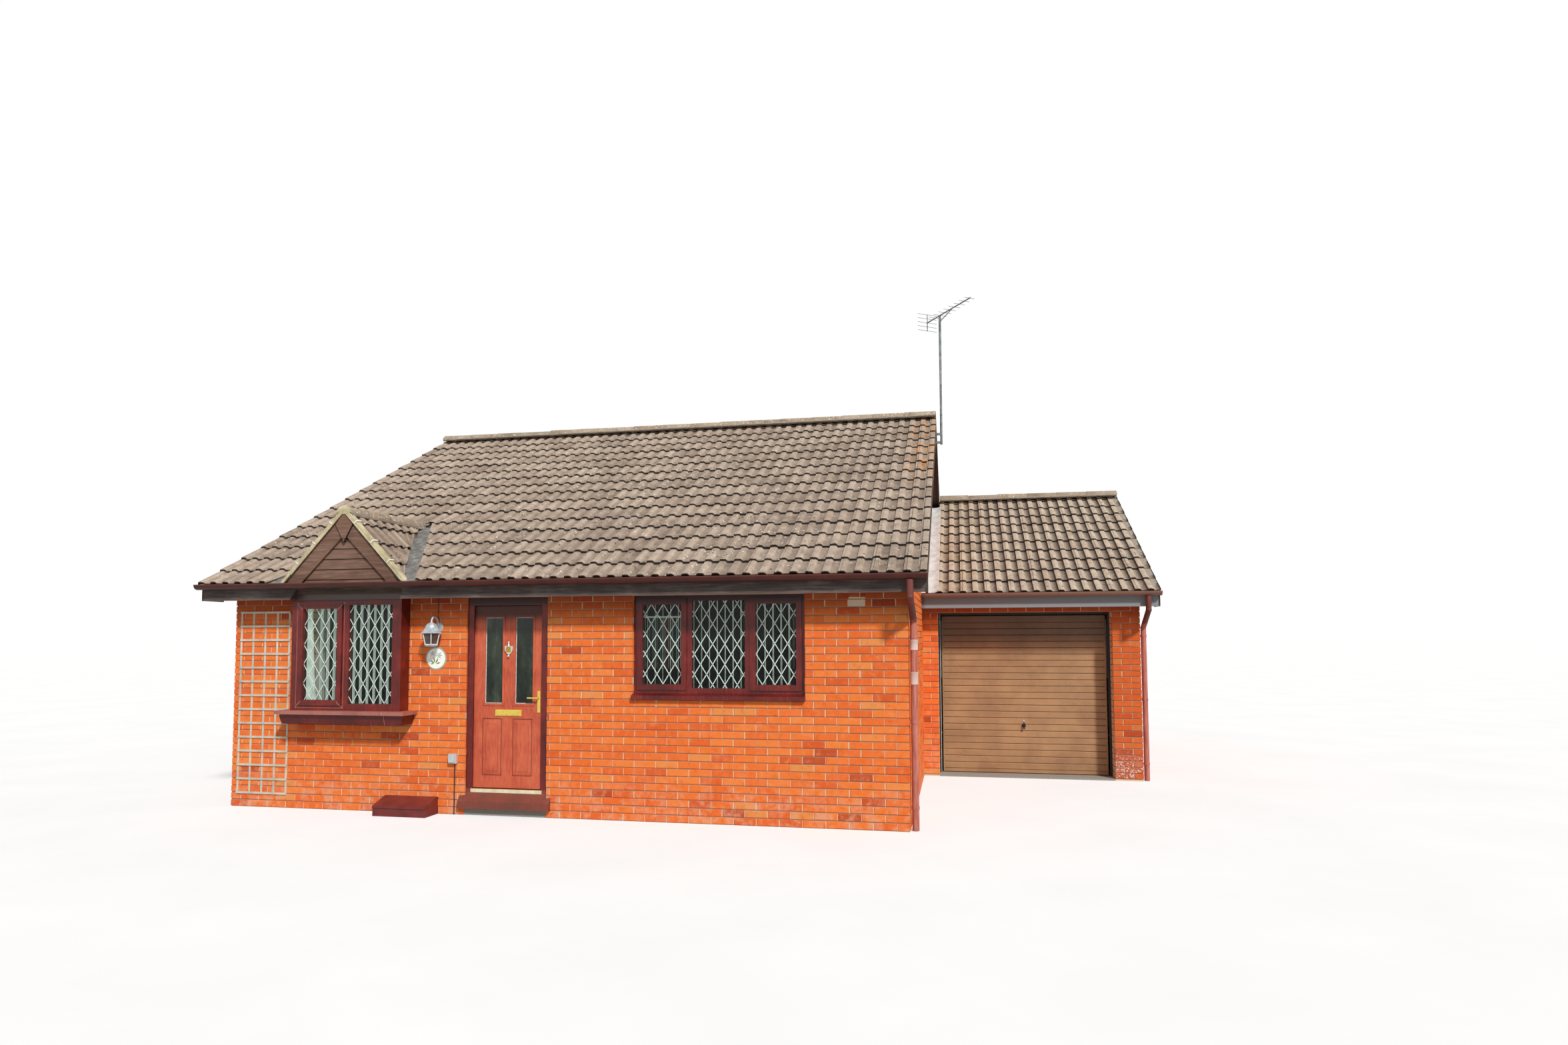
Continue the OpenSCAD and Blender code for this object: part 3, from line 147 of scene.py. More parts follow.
def shells(count, rows, cols):
    """Faces of closed shells: grids whose last row joins the first, and a cap at either side."""
    j, i = np.meshgrid(np.arange(rows), np.arange(cols - 1), indexing="ij")
    k = (j + 1) % rows
    quads = np.stack([j * cols + i, j * cols + i + 1, k * cols + i + 1, k * cols + i], axis=-1)
    left = np.arange(rows) * cols
    caps = np.stack([left, (left + cols - 1)[::-1]])
    return (many(count, rows * cols, quads.reshape(-1, 4)).tolist()
            + many(count, rows * cols, caps).tolist())


def through(rings):
    """A solid through rings of n points each: quads between neighbours, and a cap at either end."""
    count, n = rings.shape[:2]
    caps = [list(range(n))[::-1], list(range((count - 1) * n, count * n))]
    return rings.reshape(-1, 3), grid_faces(count, n, closed=True).tolist() + caps


def prism(front, back):
    """A solid between two outlines."""
    return through(np.stack([front, back]))


def flipped(solid):
    """The same solid with every face turned round."""
    return solid[0], [list(face)[::-1] for face in solid[1]]


BOX_FACES = np.array([[1, 3, 2, 0], [6, 7, 5, 4], [4, 5, 1, 0], [3, 7, 6, 2], [2, 6, 4, 0], [5, 7, 3, 1]])


def boxes(low, high):
    """Upright boxes between corner pairs: every corner takes low or high along each axis."""
    low, high = np.atleast_2d(low), np.atleast_2d(high)
    pick = np.array([[x, y, z] for x in (0, 1) for y in (0, 1) for z in (0, 1)])
    points = np.where(pick[None] == 0, low[:, None], high[:, None])
    return points.reshape(-1, 3), many(len(low), 8, BOX_FACES)


def joined(*parts):
    """Several (points, faces) pairs as one pair, each part's numbers moved past those before it."""
    points, faces, start = [], [], 0
    for p, f in parts:
        points.append(np.asarray(p, float))
        faces += (np.asarray(f) + start).tolist() if isinstance(f, np.ndarray) else [
            [c + start for c in face] for face in f]
        start += len(p)
    return np.concatenate(points), faces


def turned(profile, centre, sides=24):
    """A lathe shape: each (radius, height) of the profile goes round an upright axis in even steps."""
    profile = np.asarray(profile, float)
    a = np.arange(sides) * 2 * np.pi / sides
    ring = np.stack([np.cos(a), np.sin(a)], axis=-1)
    flat = profile[:, None, 0, None] * ring[None]
    high = np.broadcast_to(profile[:, 1, None, None], (len(profile), sides, 1))
    points = np.concatenate([flat, high], axis=-1).reshape(-1, 3)
    return points + np.asarray(centre), grid_faces(len(profile), sides, closed=True)


def swept(path, radius, sides):
    """A round bar along a path: at each station a ring stands square to the mean of its two legs."""
    path = np.asarray(path, float)
    way = np.gradient(path, axis=0)
    way /= np.linalg.norm(way, axis=1, keepdims=True)
    guide = np.where(np.abs(way[:, :1]) < 0.9, [[1.0, 0, 0]], [[0, 0, 1.0]])
    side = np.cross(way, guide)
    side /= np.linalg.norm(side, axis=1, keepdims=True)
    rise = np.cross(way, side)
    a = np.arange(sides) * 2 * np.pi / sides
    ring = np.cos(a)[None, :, None] * side[:, None] + np.sin(a)[None, :, None] * rise[:, None]
    return through(path[:, None] + radius * ring)


print("helpers ready, a test box has", len(boxes([0, 0, 0], [1, 1, 1])[0]), "corners")

# %% [markdown]
# ## Finishes from nodes
# A finish is a small recipe: noise at the real scale of the grain, a ramp of the colours seen, and a
# bump that comes from the same noise. The class below adds one node per call, so that a recipe
# reads line by line. Colours are written as they look on a screen and turned to linear light.

# %% The recipe helper
def paint(r, g, b):
    """Screen colour from 0 to 255, as linear light."""
    c = np.array([r, g, b]) / 255
    return (*np.where(c <= 0.04045, c / 12.92, ((c + 0.055) / 1.055) ** 2.4), 1.0)


class Finish:
    """A procedural material in the making; each method adds a node and returns its output."""

    def __init__(self, name, rough=0.8, **settings):
        self.mat = bpy.data.materials.new(name)
        self.mat.use_nodes = True
        self.tree = self.mat.node_tree
        self.shader = self.tree.nodes["Principled BSDF"]
        self.shader.inputs["Roughness"].default_value = rough
        for key, value in settings.items():
            self.shader.inputs[key.replace("_", " ")].default_value = value
        self.place = self.add("ShaderNodeTexCoord").outputs["Object"]

    def add(self, kind, inputs=None, **settings):
        """A node with its inputs, each a constant or another node's output."""
        node = self.tree.nodes.new(kind)
        for key, value in settings.items():
            setattr(node, key, value)
        for key, value in (inputs or {}).items():
            if isinstance(value, bpy.types.NodeSocket):
                self.tree.links.new(value, node.inputs[key])
            else:
                node.inputs[key].default_value = value
        return node

    def stretched(self, x, y, z):
        """The place, with each axis scaled: less than 1 draws a noise out along that axis."""
        return self.add("ShaderNodeMapping", {"Vector": self.place, "Scale": (x, y, z)}).outputs[0]

    def noise(self, scale, detail=4.0, rough=0.55, place=None):
        return self.add("ShaderNodeTexNoise", {"Vector": place or self.place, "Scale": scale,
                                               "Detail": detail, "Roughness": rough}).outputs["Fac"]

    def spots(self, scale, size, soft=0.06):
        """1 inside round spots round scattered points, 0 outside."""
        node = self.add("ShaderNodeTexVoronoi", {"Vector": self.place, "Scale": scale})
        return self.between(node.outputs["Distance"], size + soft, size)

    def between(self, value, low, high):
        """0 at low, 1 at high, smooth between."""
        return self.add("ShaderNodeMapRange", {"Value": value, "From Min": low, "From Max": high},
                        interpolation_type="SMOOTHSTEP").outputs["Result"]

    def calc(self, how, a, b=0.0):
        return self.add("ShaderNodeMath", {0: a, 1: b}, operation=how).outputs[0]

    def plus(self, a, b):
        return self.calc("ADD", a, b)

    def minus(self, a, b):
        return self.calc("SUBTRACT", a, b)

    def away(self, a, b):
        """How far a is from b, on either side."""
        return self.calc("ABSOLUTE", self.minus(a, b))

    def times(self, first, *others):
        """The product: 1 only where every value is 1."""
        for value in others:
            first = self.calc("MULTIPLY", first, value)
        return first

    def most(self, first, *others):
        """The largest of the values."""
        for value in others:
            first = self.calc("MAXIMUM", first, value)
        return first

    def ramp(self, value, *stops):
        """A band of colours over a value; each stop is (place, colour)."""
        node = self.add("ShaderNodeValToRGB", {"Fac": value})
        band = node.color_ramp
        while len(band.elements) < len(stops):
            band.elements.new(0.5)
        for element, (at, colour) in zip(band.elements, stops):
            element.position, element.color = at, paint(*colour)
        return node.outputs["Color"]

    def mix(self, share, a, b):
        """a where the share is 0, b where it is 1; a colour may be a socket or (r, g, b)."""
        node = self.add("ShaderNodeMix", {"Factor": share}, data_type="RGBA")
        for key, value in (("A", a), ("B", b)):
            socket = [s for s in node.inputs if s.name == key and s.type == "RGBA"][0]
            if isinstance(value, bpy.types.NodeSocket):
                self.tree.links.new(value, socket)
            else:
                socket.default_value = paint(*value)
        return [s for s in node.outputs if s.type == "RGBA"][0]

    def tint(self, shade, colour, *shares):
        """Lays a colour over a shade by the product of the shares."""
        return self.mix(self.times(*shares), shade, colour)

    def mark(self, name):
        """A number that add_piece has kept for every point."""
        return self.add("ShaderNodeAttribute", attribute_name=name).outputs["Fac"]

    def axis(self, which):
        return self.add("ShaderNodeSeparateXYZ", {"Vector": self.place}).outputs[which]

    def beyond(self, which, low, high):
        """0 before one place along an axis, 1 past the other."""
        return self.between(self.axis(which), low, high)

    def facing(self, which):
        """How far the surface faces along an axis, from -1 to 1."""
        normal = self.add("ShaderNodeNewGeometry").outputs["Normal"]
        return self.add("ShaderNodeSeparateXYZ", {"Vector": normal}).outputs[which]

    def laid(self, which):
        """The place within one tile, from 0 to 1: X across it, Y up the slope."""
        uv = self.add("ShaderNodeUVMap", uv_map="laid").outputs["UV"]
        return self.add("ShaderNodeSeparateXYZ", {"Vector": uv}).outputs[which]

    def outline(self, x0, x1, z0, z1, width):
        """1 on the outline of an upright rectangle, fading to 0 at the given distance from it."""
        dx = self.minus(self.away(self.axis("X"), (x0 + x1) / 2), (x1 - x0) / 2)
        dz = self.minus(self.away(self.axis("Z"), (z0 + z1) / 2), (z1 - z0) / 2)
        return self.between(self.calc("ABSOLUTE", self.most(dx, dz)), width, width * 0.4)

    def mitre(self, x, z, right, up, length, width):
        """1 on a slanted line that starts at (x, z); right and up are 1 or -1."""
        t = self.times(self.minus(self.axis("X"), x), right)
        s = self.times(self.minus(self.axis("Z"), z), up)
        line = self.between(self.away(t, s), width, width * 0.5)
        return self.times(line, self.between(t, -0.001, 0.001), self.between(t, length, length - 0.002))

    def colour(self, value):
        self.tree.links.new(value, self.shader.inputs["Base Color"])

    def feed(self, socket, value, low, high):
        """One of the shader's settings runs from low to high with a value from 0 to 1."""
        spread = self.add("ShaderNodeMapRange", {"Value": value, "To Min": low, "To Max": high})
        self.tree.links.new(spread.outputs[0], self.shader.inputs[socket])

    def bump(self, value, depth, strength=1.0):
        """Relief of a depth in metres, on top of any relief that is there already."""
        node = self.add("ShaderNodeBump", {"Height": value, "Distance": depth, "Strength": strength})
        old = self.shader.inputs["Normal"].links
        if old:
            self.tree.links.new(old[0].from_socket, node.inputs["Normal"])
        self.tree.links.new(node.outputs[0], self.shader.inputs["Normal"])


def mottled(name, scale, detail, *stops, grain=0.55, along=(1, 1, 1), bump=None, **settings):
    """A finish of one noise over a ramp of colours; bump is (depth, strength) of a relief from it."""
    finish = Finish(name, **settings)
    place = None if along == (1, 1, 1) else finish.stretched(*along)
    patches = finish.noise(scale, detail, grain, place=place)
    finish.colour(finish.ramp(patches, *stops))
    if bump:
        finish.bump(patches, *bump)
    return finish


def dress(finish, *nodes):
    """Gives CAD nodes a finish in place of their plain one."""
    for name in nodes:
        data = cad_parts[name].data
        if not data.materials:
            data.materials.append(finish.mat)
        for i in range(len(data.materials)):
            data.materials[i] = finish.mat


print("brick orange in linear light:", [round(c, 3) for c in paint(222, 90, 45)[:3]])

# %% [markdown]
# ## Camera, light and floor
# The camera stands where the photographer stood, in front of the right corner of the house at eye
# height, and looks a little to the left and up. It was found by fitting known brick courses to the
# picture, so its matrix is built from the view direction and a small roll. Light comes from a pale
# surround and one large soft sun on the right, so that joints and tile edges throw soft shadows.

# %% Camera
EYE = [7.7971, -8.7179, 1.8181]
YAW, LOOK_UP, ROLL = 0.2014, 0.0577, -0.0033
forward = np.array([-math.sin(YAW) * math.cos(LOOK_UP), math.cos(YAW) * math.cos(LOOK_UP),
                    math.sin(LOOK_UP)])
level = np.array([math.cos(YAW), math.sin(YAW), 0.0])
above = np.cross(level, forward)
right = level * math.cos(ROLL) + above * math.sin(ROLL)
upward = -level * math.sin(ROLL) + above * math.cos(ROLL)
camera = bpy.data.objects.new("camera", bpy.data.cameras.new("camera"))
bpy.context.scene.collection.objects.link(camera)
turn = np.eye(4)
turn[:3, 0], turn[:3, 1], turn[:3, 2] = right, upward, -forward
turn[:3, 3] = EYE
camera.matrix_world = Matrix(turn.tolist())
camera.data.lens = 21.02
camera.data.sensor_width = 36
camera.data.shift_x, camera.data.shift_y = 0.0078, 0.0392
camera.data.clip_end = 500
bpy.context.scene.camera = camera
bpy.context.scene.view_settings.view_transform = "Standard"
print("camera at", [round(c, 3) for c in camera.location], "lens", camera.data.lens)

# %% Surround and sun
world = bpy.data.worlds.new("pale surround")
bpy.context.scene.world = world
world.use_nodes = True
nodes, links = world.node_tree.nodes, world.node_tree.links
rays = nodes.new("ShaderNodeLightPath")
seen = rays.outputs["Is Camera Ray"]
for kind in ("Is Glossy Ray", "Is Transmission Ray"):
    either = nodes.new("ShaderNodeMath")
    either.operation = "MAXIMUM"
    links.new(seen, either.inputs[0])
    links.new(rays.outputs[kind], either.inputs[1])
    seen = either.outputs[0]
# What is seen, mirrored or looked through is white; as a light the surround is weaker
AMBIENT = 0.38
strength = nodes.new("ShaderNodeMapRange")
strength.inputs["To Min"].default_value = AMBIENT
strength.inputs["To Max"].default_value = 1.0
links.new(seen, strength.inputs["Value"])
links.new(strength.outputs[0], nodes["Background"].inputs["Strength"])
nodes["Background"].inputs["Color"].default_value = (1, 1, 1, 1)


def soft_sun(name, power, spread, azimuth, height):
    """A sun whose light comes from an azimuth (0 in front, positive to the right) and a height."""
    lamp = bpy.data.objects.new(name, bpy.data.lights.new(name, "SUN"))
    lamp.data.energy, lamp.data.angle = power, math.radians(spread)
    a, h = math.radians(azimuth), math.radians(height)
    lamp.rotation_euler = (math.pi / 2 - h, 0, a)
    bpy.context.scene.collection.objects.link(lamp)
    return lamp


soft_sun("sun", power=3.0, spread=6, azimuth=37, height=41)
print("surround", AMBIENT, "and one soft sun")

# %% Floor
FAR = 150
floor_mesh = bpy.data.meshes.new("floor")
floor_mesh.from_pydata([(-FAR, -FAR, 0), (FAR, -FAR, 0), (FAR, FAR, 0), (-FAR, FAR, 0)], [], [(0, 1, 2, 3)])
floor = bpy.data.objects.new("floor", floor_mesh)
bpy.context.scene.collection.objects.link(floor)
pale = mottled("pale floor", 0.7, 3, (0.3, (193, 193, 192)), (0.7, (199, 199, 198)), rough=0.9,
               Specular_IOR_Level=0.1)
path = pale.add("ShaderNodeLightPath")
pale.tree.links.new(pale.times(path.outputs["Is Camera Ray"], 0.42),
                    pale.shader.inputs["Emission Strength"])
pale.shader.inputs["Emission Color"].default_value = (1, 1, 1, 1)
floor_mesh.materials.append(pale.mat)
print("floor", floor.dimensions[:2])

# %% [markdown]
# ## Mortar and plaster
# On the real walls, the mortar is what shows between the bricks: cream, sandy, and set back a few
# millimetres. So the CAD walls themselves are the mortar here, and the bricks are laid on them. The
# same walls are plastered inside, and the finish tells inside from outside by position.

# %% Wall ground
COURSE, BED, LENGTH, DEPTH = 0.075, 0.010, 0.215, 0.1025
# How far inside the outer faces the mortar gives way to plaster
PLASTER = (0.145, 0.155)


def wall_ground(name, base):
    """Cream mortar with painted shade in its level joints, under the bricks above, and plaster inside."""
    ground = Finish(name, rough=0.95, Specular_IOR_Level=0.2)
    grit = ground.noise(420, 5, 0.7)
    patch = ground.noise(2.2, 4)
    outside = ground.mix(patch, ground.ramp(grit, (0.25, (190, 156, 122)), (0.75, (236, 210, 178))),
                         ground.ramp(grit, (0.25, (212, 186, 154)), (0.75, (244, 230, 206))))
    # How far up a 75 mm course a point is; the bed joint lies half at its foot and half at its top
    phase = ground.calc("FRACT", ground.calc("DIVIDE", ground.minus(ground.axis("Z"), base), COURSE))
    bed = ground.most(ground.between(phase, 0.095, 0.065), ground.between(phase, 0.905, 0.935))
    # Painted shade in the bed joints, under the bricks above
    outside = ground.tint(outside, (112, 60, 38), bed, 0.62)
    low_x, low_y = ground.beyond("X", *PLASTER), ground.beyond("Y", *PLASTER)
    high_x = ground.beyond("X", HOUSE_W - PLASTER[0], HOUSE_W - PLASTER[1])
    high_y = ground.beyond("Y", HOUSE_D - PLASTER[0], HOUSE_D - PLASTER[1])
    inside = ground.times(low_x, high_x, low_y, high_y)
    ground.colour(ground.mix(inside, outside, (226, 222, 214)))
    ground.bump(grit, 0.0015, 0.8)
    return ground


GARAGE_BASE = 0.024
HOUSE_WALLS = ["front_wall_left", "front_wall_right", "front_wall_over_door", "rear_wall",
               "left_gable_wall", "right_gable_wall"]
GARAGE_WALLS = ["garage_pier_left", "garage_pier_right", "garage_wall_over_door", "garage_side_wall",
                "garage_rear_wall"]
dress(wall_ground("cream mortar", 0.0), *HOUSE_WALLS)
dress(wall_ground("cream garage mortar", GARAGE_BASE), *GARAGE_WALLS)

concrete = mottled("floor concrete", 90, 6, (0.3, (126, 121, 113)), (0.7, (168, 163, 153)), grain=0.65,
                   bump=(0.002,), rough=0.9)
dress(concrete, "house_floor", "garage_floor")
print("mortar on", len(HOUSE_WALLS) + len(GARAGE_WALLS), "walls")

# %% [markdown]
# ## Bricks
# A course is 75 mm high: a 65 mm brick and a 10 mm bed. Bricks are 215 mm long with 10 mm between
# them, and every other course starts half a brick along, which is stretcher bond. At a corner the
# end of one wall's brick shows on the other wall, so the walls take turns in owning the corner.
# Each brick is a small box with chamfered edges, ten faces in all. Arrays set a whole wall at once,
# and every brick keeps a tone of its own for the finish.

# %% The brick finish
brick = Finish("orange-red brick", rough=0.88, Specular_IOR_Level=0.25)
tone = brick.mark("tone")
clay = brick.ramp(tone, (0.0, (178, 70, 34)), (0.12, (212, 88, 38)), (0.34, (231, 106, 42)),
                  (0.60, (238, 120, 50)), (0.82, (240, 132, 60)), (0.92, (234, 140, 68)),
                  (1.0, (222, 142, 78)))
cloud = brick.noise(14, 5, 0.6)
clay = brick.tint(clay, (244, 150, 84), brick.between(cloud, 0.52, 0.72), 0.4)
clay = brick.tint(clay, (196, 76, 34), brick.between(cloud, 0.46, 0.3), 0.3)
crease = brick.noise(60, 6, 0.7, place=brick.stretched(0.35, 0.35, 1.6))
clay = brick.tint(clay, (146, 50, 26), brick.between(crease, 0.62, 0.74), 0.38)
dust = brick.noise(7, 6, 0.7)
low = brick.beyond("Z", 0.55, 0.05)
haze = brick.times(brick.between(dust, 0.42, 0.66), brick.plus(brick.times(low, 0.55), 0.1))
clay = brick.mix(haze, clay, (222, 168, 136))
# Damp and white salts where the piece says so
foot = brick.between(brick.mark("bloom"), 0.0, 0.5)
clay = brick.tint(clay, (176, 84, 56), foot, 0.5)
salt = brick.most(brick.spots(32, 0.3), brick.spots(70, 0.28))
bloom = brick.times(salt, brick.between(brick.mark("bloom"), 0.15, 0.75))
clay = brick.mix(bloom, clay, (246, 242, 236))
# Painted shade on the front and rear walls, just under the eaves
eaves_shade = brick.times(brick.beyond("Z", 1.96, 2.18),
                    brick.between(brick.calc("ABSOLUTE", brick.facing("Y")), 0.4, 0.6))
clay = brick.tint(clay, (120, 36, 20), eaves_shade, 0.62)
# Painted shade: the garage's right pier is a deeper red
pier = brick.times(brick.beyond("X", 9.66, 9.69), brick.beyond("Y", 3.6, 3.55))
clay = brick.tint(clay, (168, 62, 28), pier, 0.42)
brick.colour(clay)
brick.bump(crease, 0.004, 0.7)
brick.bump(brick.noise(300, 4, 0.6), 0.0012, 0.7)
print("brick finish ready")

# %% Laying bricks
PROUD, CHAMFER = 0.007, 0.003
BRICK_FACES = np.array([[8, 9, 10, 11], [4, 5, 9, 8], [5, 6, 10, 9], [6, 7, 11, 10], [7, 4, 8, 11],
                        [0, 1, 5, 4], [1, 2, 6, 5], [2, 3, 7, 6], [3, 0, 4, 7], [3, 2, 1, 0]])


def bond(along, rise, base=0.0, own=(True, True)):
    """Bricks of a plain wall as rows (u0, u1, z0, z1, return_left, return_right).

    Course j takes z from base + 75 j + 5 to + 70 mm. Where a wall meets another at its end it owns
    the corner in every second course, and stops a brick's thickness short in the others."""
    rows = []
    for j in range(int(math.ceil((rise - base) / COURSE))):
        left_owned = own[0] and j % 2 == 0
        right_owned = own[1] and j % 2 == 1
        start = along[0] + (-PROUD if left_owned else (DEPTH + BED if own[0] else 0.0))
        end = along[1] + (PROUD if right_owned else (-DEPTH - BED if own[1] else 0.0))
        first = along[0] + (0.0 if j % 2 == 0 else (DEPTH + BED))
        run = along[1] - along[0] - (DEPTH + BED)
        count = max(1, round(run / (LENGTH + BED)))
        pitch = (run + BED) / count if own[0] or own[1] else LENGTH + BED
        edges = first + pitch * np.arange(-1, count + 2)
        u0 = np.maximum(edges, start)
        u1 = np.minimum(edges + pitch - BED, end)
        if left_owned:
            u0[np.argmin(np.abs(edges - along[0]))] = start
        if right_owned:
            u1[np.argmin(np.abs(edges + pitch - BED - along[1]))] = end
        keep = u1 - u0 > 0.035
        z0 = base + COURSE * j + BED / 2
        block = np.zeros((int(keep.sum()), 6))
        block[:, 0], block[:, 1], block[:, 2], block[:, 3] = u0[keep], u1[keep], z0, z0 + COURSE - BED
        block[:, 4] = left_owned & (block[:, 0] < along[0] + 0.001)
        block[:, 5] = right_owned & (block[:, 1] > along[1] - 0.001)
        rows.append(block)
    return np.concatenate(rows)


def cut_out(rows, u0, u1, z0, z1):
    """Takes an opening out of the bricks: each brick in it leaves up to four smaller ones."""
    inside_u = (rows[:, 0] < u1) & (rows[:, 1] > u0)
    hit = inside_u & (rows[:, 2] < z1) & (rows[:, 3] > z0)
    kept, parts = rows[~hit], []
    for take, column, value in ((rows[:, 0] < u0, 1, u0), (rows[:, 1] > u1, 0, u1),
                                (rows[:, 2] < z0, 3, z0), (rows[:, 3] > z1, 2, z1)):
        part = rows[hit & take].copy()
        part[:, column] = value
        if column > 1:
            part[:, 0] = np.maximum(part[:, 0], u0 + 0.001)
            part[:, 1] = np.minimum(part[:, 1], u1 - 0.001)
        parts.append(part)
    rows = np.concatenate([kept, *parts])
    return rows[(rows[:, 1] - rows[:, 0] > 0.022) & (rows[:, 3] - rows[:, 2] > 0.018)]


def lay_bricks(name, rows, place, bloom=None):
    """Chamfered boxes on a wall: place turns (u, z, out) into X, Y and Z."""
    count = len(rows)
    shake = rng.normal(0, 1, (count, 5))
    u0 = rows[:, 0] + 0.0012 * shake[:, 0] * (rows[:, 4] == 0)
    u1 = rows[:, 1] + 0.0012 * shake[:, 1] * (rows[:, 5] == 0)
    z0, z1 = rows[:, 2] + 0.0008 * shake[:, 2], rows[:, 3] + 0.0008 * shake[:, 2]
    out = PROUD + 0.0006 * np.clip(shake[:, 3], -2, 2)
    back = np.where((rows[:, 4] + rows[:, 5]) > 0, -DEPTH, -0.040)
    c = CHAMFER
    u = np.stack([u0, u1, u1, u0, u0, u1, u1, u0, u0 + c, u1 - c, u1 - c, u0 + c], axis=1)
    z = np.stack([z0, z0, z1, z1, z0, z0, z1, z1, z0 + c, z0 + c, z1 - c, z1 - c], axis=1)
    n = np.stack([back] * 4 + [out - c] * 4 + [out] * 4, axis=1)
    points = place(u.ravel(), z.ravel(), n.ravel())
    tones = np.clip(0.52 + 0.17 * rng.normal(0, 1, count), 0, 1)
    odd = rng.random(count)
    tones = np.where(odd < 0.022, 0.05, np.where(odd > 0.975, 0.95, tones))
    spotted = np.zeros(len(points)) if bloom is None else bloom(points)
    return add_piece(name, points, many(count, 12, BRICK_FACES), brick.mat, "brick",
                     tone=np.repeat(tones, 12), bloom=spotted)


# Where a brick of each wall goes: u runs to the right as one looks at the wall from outside
def on_front(y):
    return lambda u, z, n: np.stack([u, y - n, z], axis=1)


def on_rear(y):
    return lambda u, z, n: np.stack([-u, y + n, z], axis=1)


def on_right(x):
    return lambda u, z, n: np.stack([x + n, u, z], axis=1)


def on_left(x):
    return lambda u, z, n: np.stack([x - n, -u, z], axis=1)


print("a wall of 1.0 by 0.3 m takes", len(bond((0, 1.0), 0.3)), "bricks")

# %% [markdown]
# ## Openings and gables
# The bricks run a millimetre past the edges of the openings in the CAD walls. High on the right of
# the front wall, one patch is plain mortar. On a gable, a brick is left out when its middle would be
# above the underside of the roof.

# %% Bricks of the house
door_low, door_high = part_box("door_frame")
CLEAR, PAST_TOP = 0.001, 3
BAY_OPEN = (BAY_X - BAY_W / 2 + 0.060, BAY_X + BAY_W / 2 - 0.060)
DOOR_OPEN, WINDOW_OPEN = (2.775, 3.680), (4.594, 6.341)
WINDOW_Z, BAY_Z, WINDOW_W, REAR_MARGIN = 1.200, 1.060, 1.747, 0.9
MORTAR_PATCH = (6.765, 6.925, 2.098, 2.195)
print("door opening", DOOR_OPEN, "round a frame at", round(door_low[0], 3), "to", round(door_high[0], 3))

front = bond((0, HOUSE_W), SOFFIT_Z)
for (u0, u1), sill in ((BAY_OPEN, BAY_Z), (DOOR_OPEN, -1), (WINDOW_OPEN, WINDOW_Z)):
    front = cut_out(front, u0 + CLEAR, u1 - CLEAR, sill, PAST_TOP)
front = cut_out(front, *MORTAR_PATCH)
front[:, 3] = np.minimum(front[:, 3], SOFFIT_Z - CLEAR)
lay_bricks("front_bricks", front, on_front(0))

rear = bond((-HOUSE_W, 0), SOFFIT_Z, own=(False, True))
for x in (REAR_MARGIN, HOUSE_W - REAR_MARGIN - WINDOW_W):
    rear = cut_out(rear, -x - WINDOW_W + CLEAR, -x - CLEAR, WINDOW_Z, PAST_TOP)
rear[:, 3] = np.minimum(rear[:, 3], SOFFIT_Z - CLEAR)
lay_bricks("rear_bricks", rear, on_rear(HOUSE_D))

# Battens and rafters lie this deep below the tile plane, square to the slope
BATTEN, RAFTER = (0.036, 0.050), (0.050, 0.165)
UNDER, SLACK = RAFTER[1] / math.cos(PITCH), 0.02


def under_gable(rows, y_of, top):
    """Keeps the bricks whose middle is below the underside of the roof, give or take the slack."""
    y, z = y_of((rows[:, 0] + rows[:, 1]) / 2), (rows[:, 2] + rows[:, 3]) / 2
    return rows[z < top(y) - UNDER + SLACK]


left = under_gable(bond((-HOUSE_D, 0), 5.0), lambda u: -u, house_top)
lay_bricks("left_gable_bricks", left, on_left(0))
right_rows = under_gable(bond((0, HOUSE_D), 5.0), lambda u: u, house_top)
middle_y = (right_rows[:, 0] + right_rows[:, 1]) / 2
over_garage = right_rows[:, 3] > garage_top(middle_y) - 0.20
right_rows = right_rows[(middle_y < GARAGE_Y - 0.02) | over_garage]
lay_bricks("right_gable_bricks", right_rows, on_right(HOUSE_W))

# %% Bricks of the garage
PIER_LEFT_W, PIER_RIGHT_W = 0.205, 0.328
GARAGE_DOOR_TOP, GARAGE_FRONT_TOP, GARAGE_REAR_TOP = 2.12, 2.2, 2.19
door_span = (HOUSE_W + PIER_LEFT_W, GARAGE_X - PIER_RIGHT_W)
pier_left = bond((HOUSE_W, door_span[0]), GARAGE_FRONT_TOP, GARAGE_BASE, own=(False, False))
pier_right = bond((door_span[1], GARAGE_X), GARAGE_FRONT_TOP, GARAGE_BASE, own=(False, True))
over_door = bond(door_span, GARAGE_FRONT_TOP, GARAGE_BASE, own=(False, False))
over_door = over_door[over_door[:, 2] > GARAGE_DOOR_TOP]


def white_bloom(points):
    """Salts near the ground on the right pier: full at the foot, gone by 0.45 m."""
    return np.where(points[:, 0] > GARAGE_X - 0.35, np.clip(1.2 - points[:, 2] / 0.38, 0, 1), 0)


garage_front = np.concatenate([pier_left, pier_right, over_door])
garage_front[:, 3] = np.minimum(garage_front[:, 3], 2.189)
garage_front = garage_front[garage_front[:, 3] - garage_front[:, 2] > 0.02]
lay_bricks("garage_front_bricks", garage_front, on_front(GARAGE_Y), white_bloom)
side = under_gable(bond((GARAGE_Y, HOUSE_D), 4.2, GARAGE_BASE), lambda u: u, garage_top)
lay_bricks("garage_side_bricks", side, on_right(GARAGE_X))
garage_rear = bond((-GARAGE_X, -HOUSE_W), GARAGE_REAR_TOP, GARAGE_BASE, own=(True, False))
lay_bricks("garage_rear_bricks", garage_rear, on_rear(HOUSE_D))

